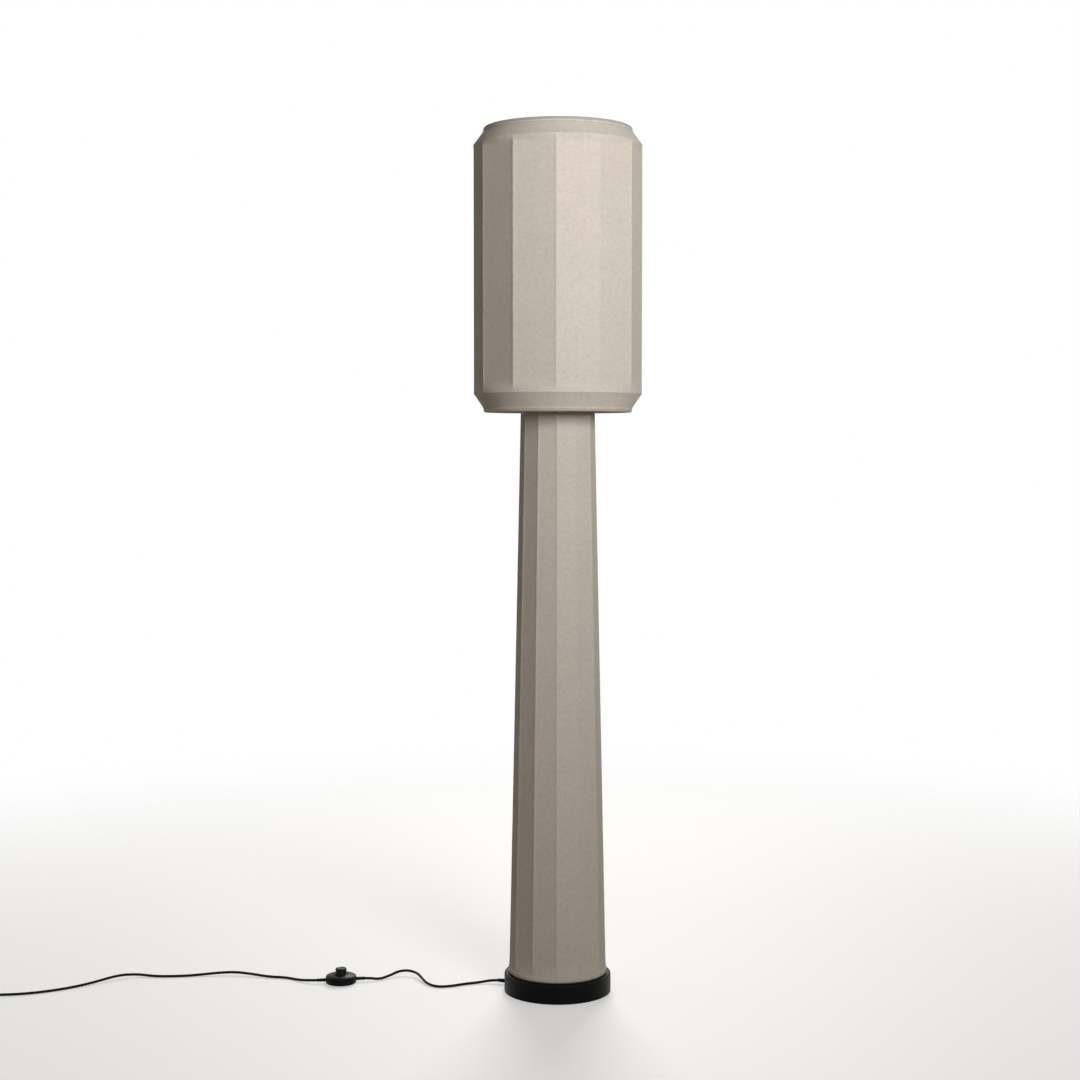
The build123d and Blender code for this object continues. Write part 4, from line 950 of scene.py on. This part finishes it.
def coated(name, colour, roughness, grain, depth, shine=0.5):
    """Painted or moulded surfaces: a fine grain, with broad soft changes of gloss."""
    finish = Finish(name, colour, roughness)
    finish.all_over(Specular_IOR_Level=shine)
    place = finish.place()
    fine = finish.noise(place, grain, detail=3.0, roughness=0.6)
    broad = finish.noise(place, scale=24.0, detail=3.0, roughness=0.55)
    both = finish.maths("ADD", fine, broad)
    shown = finish.shade(finish.span(both, low=0.7, high=1.3), darker=0.86, lighter=1.14)
    rough = finish.span(broad, low=0.3, high=0.7, new_low=roughness - 0.05, new_high=roughness + 0.07)
    normal = finish.bump(fine, depth, strength=0.6)
    return finish.wear(Base_Color=shown, Roughness=rough, Normal=normal)


def plated(name, colour, roughness):
    """Bright metal: fine drawn lines along the lamp's axis and a few duller patches."""
    finish = Finish(name, colour, roughness, metallic=1.0)
    place = finish.place()
    lines = finish.streaks(place, (1800.0, 1800.0, 60.0))
    patches = finish.noise(place, scale=60.0, detail=4.0, roughness=0.6)
    both = finish.maths("ADD", lines, patches)
    shown = finish.shade(finish.span(patches, low=0.3, high=0.7), darker=0.86, lighter=1.06)
    rough = finish.span(both, low=0.7, high=1.3, new_low=roughness - 0.06, new_high=roughness + 0.12)
    normal = finish.bump(lines, distance=0.00003, strength=0.5)
    return finish.wear(Base_Color=shown, Roughness=rough, Normal=normal)


def cast(name, colour):
    """Rough casting: coarse sand grain and darker pits."""
    finish = Finish(name, colour, roughness=0.7, metallic=0.6)
    place = finish.place()
    sand = finish.noise(place, scale=700.0, detail=5.0, roughness=0.7)
    pits = finish.span(finish.noise(place, scale=260.0), low=0.6, high=0.7)
    shown = finish.mix(pits, finish.shade(sand, darker=0.8, lighter=1.2), tinted(colour, 0.5))
    normal = finish.bump(finish.maths("SUBTRACT", sand, pits), distance=0.0004, strength=0.8)
    return finish.wear(Base_Color=shown, Normal=normal)


def opal(name, colour):
    """Satin opal glass, faintly cloudy."""
    finish = Finish(name, colour, roughness=0.32)
    finish.all_over(Subsurface_Weight=0.25, Subsurface_Radius=(0.006, 0.006, 0.005), Coat_Weight=0.2)
    cloudy = finish.noise(finish.place(), scale=45.0, detail=3.0)
    shown = finish.shade(finish.span(cloudy, low=0.3, high=0.7), darker=0.97, lighter=1.02)
    rough = finish.span(cloudy, low=0.3, high=0.7, new_low=0.28, new_high=0.38)
    return finish.wear(Base_Color=shown, Roughness=rough)


LINEN = (0.70, 0.648, 0.563)
BLACK = (0.005, 0.005, 0.0052)

# Finishes by the record's material slots, and three more for trims: the hems' linen, the shade's lower
# edging, and the tape. The edgings are darker than the linen as painted shade, and the lower one is darker
# and warmer still; the hems' linen is a little darker as painted shade, and the tape's brown band is partly
# painted shade. coated takes roughness, grain, depth of the grain and shine; plated takes roughness.
MATERIALS = {
    "shade_fabric": linen("shade linen", LINEN),
    "column_fabric": linen("column linen", LINEN),
    # A little darker than the panels' linen: painted shade at the column's foot
    "hem_linen_shaded": linen("hem linen, painted shade", (0.67, 0.625, 0.545)),
    "shade_liner": liner("laminated liner", (0.88, 0.87, 0.84)),
    # The two edgings are one binding. Both colours are darker than the linen as painted shade, and the
    # foot's copy is darker and warmer: painted shade under the shade's rim
    "trim_fabric": binding("rolled edging", (0.46, 0.420, 0.388)),
    "trim_fabric_shaded_foot": binding("rolled edging, shaded foot", (0.52, 0.440, 0.360)),
    # Brown tape on the foot hem's lower edge; its dark band also paints the shade in the joint above the
    # base
    "hem_tape_and_shade": binding("brown hem tape and painted shade", (0.27, 0.21, 0.15)),
    "base_black": coated("black powder coat", BLACK, 0.38, 1300.0, 0.00006, 0.06),
    "cast_iron": cast("cast iron", (0.16, 0.16, 0.165)),
    "pad_foam": coated("foam pad", (0.03, 0.03, 0.03), 0.9, 900.0, 0.0002, 0.3),
    "cable_black": coated("black sheath", BLACK, 0.40, 700.0, 0.00003, 0.08),
    "pole_zinc": plated("zinc tube", (0.62, 0.62, 0.60), 0.34),
    "thread_zinc": plated("zinc fittings", (0.64, 0.63, 0.58), 0.36),
    "bush_brass": plated("brass bushes", (0.72, 0.55, 0.30), 0.3),
    "frame_white": coated("white coated wire", (0.78, 0.77, 0.74), 0.42, 1500.0, 0.00004),
    "holder_plastic": coated("white holder plastic", (0.76, 0.75, 0.72), 0.38, 1200.0, 0.00003),
    "holder_ceramic": coated("white ceramic", (0.80, 0.79, 0.76), 0.6, 900.0, 0.00006),
    "contact_brass": plated("contact brass", (0.75, 0.60, 0.33), 0.28),
    "bulb_opal": opal("opal glass", (0.90, 0.89, 0.86)),
    "bulb_aluminium": plated("bulb cap aluminium", (0.78, 0.78, 0.79), 0.3),
    "bulb_seal": coated("bulb seal", (0.03, 0.03, 0.034), 0.22, 900.0, 0.00003),
    "bulb_solder": plated("solder", (0.66, 0.66, 0.66), 0.4),
    "switch_black": coated("switch housing black", BLACK, 0.38, 1600.0, 0.00004, 0.08),
    "button_black": coated("switch button black", BLACK, 0.30, 1600.0, 0.00003, 0.10),
    "block_plastic": coated("terminal block plastic", (0.62, 0.61, 0.57), 0.5, 1200.0, 0.00004),
    "spring_steel": plated("spring steel", (0.60, 0.60, 0.61), 0.3),
    "plug_black": coated("plug black", BLACK, 0.40, 1400.0, 0.00005, 0.08),
    "pin_nickel": plated("nickel pins", (0.76, 0.75, 0.70), 0.24),
}


def dress_nodes():
    """Gives each node of the frame the procedural finish of its slot."""
    for part in frame["record"]["subparts"]:
        piece = frame["nodes"][part["node"]]
        piece.data.materials.clear()
        piece.data.materials.append(MATERIALS[part["material_slot"]])


# Floor, light and background

def seen_directly(tree):
    """1 for the rays that show the background itself: from the camera, off gloss and through glass."""
    rays = tree.nodes.new("ShaderNodeLightPath")
    seen = rays.outputs["Is Camera Ray"]
    for name in ("Is Glossy Ray", "Is Transmission Ray"):
        either = tree.nodes.new("ShaderNodeMath")
        either.operation = "MAXIMUM"
        tree.links.new(seen, either.inputs[0])
        tree.links.new(rays.outputs[name], either.inputs[1])
        seen = either.outputs[0]
    return seen


def floor_material():
    """Pale and faintly uneven, lifted by a glow where it is seen, and clear far from the lamp."""
    finish = Finish("pale floor", FLOOR_COLOUR, roughness=0.6)
    finish.all_over(Specular_IOR_Level=0.2)
    place = finish.place()
    seen = seen_directly(finish.tree)
    uneven = finish.shade(finish.noise(place, scale=3.0, detail=3.0), darker=0.99, lighter=1.01)
    finish.wear(Base_Color=finish.mix(seen, FLOOR_BOUNCE, uneven))
    lift = finish.maths("MULTIPLY", seen, FLOOR_LIFT)
    glow = finish.node("ShaderNodeEmission", {"Color": (*WHITE, 1.0), "Strength": lift}).outputs[0]
    lifted = finish.node("ShaderNodeAddShader", {0: finish.shader.outputs[0], 1: glow}).outputs[0]
    reach = finish.node("ShaderNodeVectorMath", {0: place}, operation="LENGTH").outputs["Value"]
    fade = {
        "Value": reach, "From Min": FLOOR_FADE_START, "From Max": FLOOR_FADE_END, "To Min": 1.0,
        "To Max": 0.0,
    }
    shown = finish.node("ShaderNodeMapRange", fade, interpolation_type="SMOOTHERSTEP").outputs["Result"]
    clear = finish.node("ShaderNodeBsdfTransparent").outputs[0]
    mixed = finish.node("ShaderNodeMixShader", {0: shown, 1: clear, 2: lifted}).outputs[0]
    finish.tree.links.new(mixed, finish.tree.nodes["Material Output"].inputs["Surface"])
    return finish.material


def make_floor():
    """A plain floor that takes the lamp's shadow."""
    side = FLOOR_REACH
    corners = [(-side, -side, 0.0), (side, -side, 0.0), (side, side, 0.0), (-side, side, 0.0)]
    mesh = bpy.data.meshes.new("floor")
    mesh.from_pydata(corners, [], [(0, 1, 2, 3)])
    mesh.materials.append(floor_material())
    floor = bpy.data.objects.new("floor", mesh)
    bpy.context.scene.collection.objects.link(floor)


def make_light(name, azimuth, distance, height, aim_height, size, spread, power):
    """A square soft light that stands round the lamp and is aimed at its axis."""
    data = bpy.data.lights.new(name, "AREA")
    data.shape = "SQUARE"
    data.size = size
    data.spread = radians(spread)
    data.energy = power
    light = bpy.data.objects.new(name, data)
    light.location = around(distance, azimuth, height)
    aim = Vector((0.0, 0.0, aim_height)) - light.location
    light.rotation_euler = aim.to_track_quat("-Z", "Y").to_euler()
    bpy.context.scene.collection.objects.link(light)


def make_background():
    """White where it is seen directly, and elsewhere an even, slightly warm soft light."""
    world = bpy.data.worlds.new("studio")
    world.use_nodes = True
    bpy.context.scene.world = world
    tree = world.node_tree
    colour = tree.nodes.new("ShaderNodeMix")
    colour.data_type = "RGBA"
    tree.links.new(seen_directly(tree), colour.inputs[MIX_FACTOR])
    colour.inputs[MIX_FIRST].default_value = (*AMBIENT, 1.0)
    colour.inputs[MIX_SECOND].default_value = (*WHITE, 1.0)
    tree.links.new(colour.outputs[MIX_RESULT], tree.nodes["Background"].inputs["Color"])


def main():
    bpy.context.scene.view_settings.view_transform = "Standard"
    make_camera()
    dress_nodes()
    make_lead()
    make_shade()
    make_column()
    make_floor()
    make_light("key", **KEY_LIGHT)
    make_light("fill", **FILL_LIGHT)
    make_light("back", **BACK_LIGHT)
    make_background()


main()
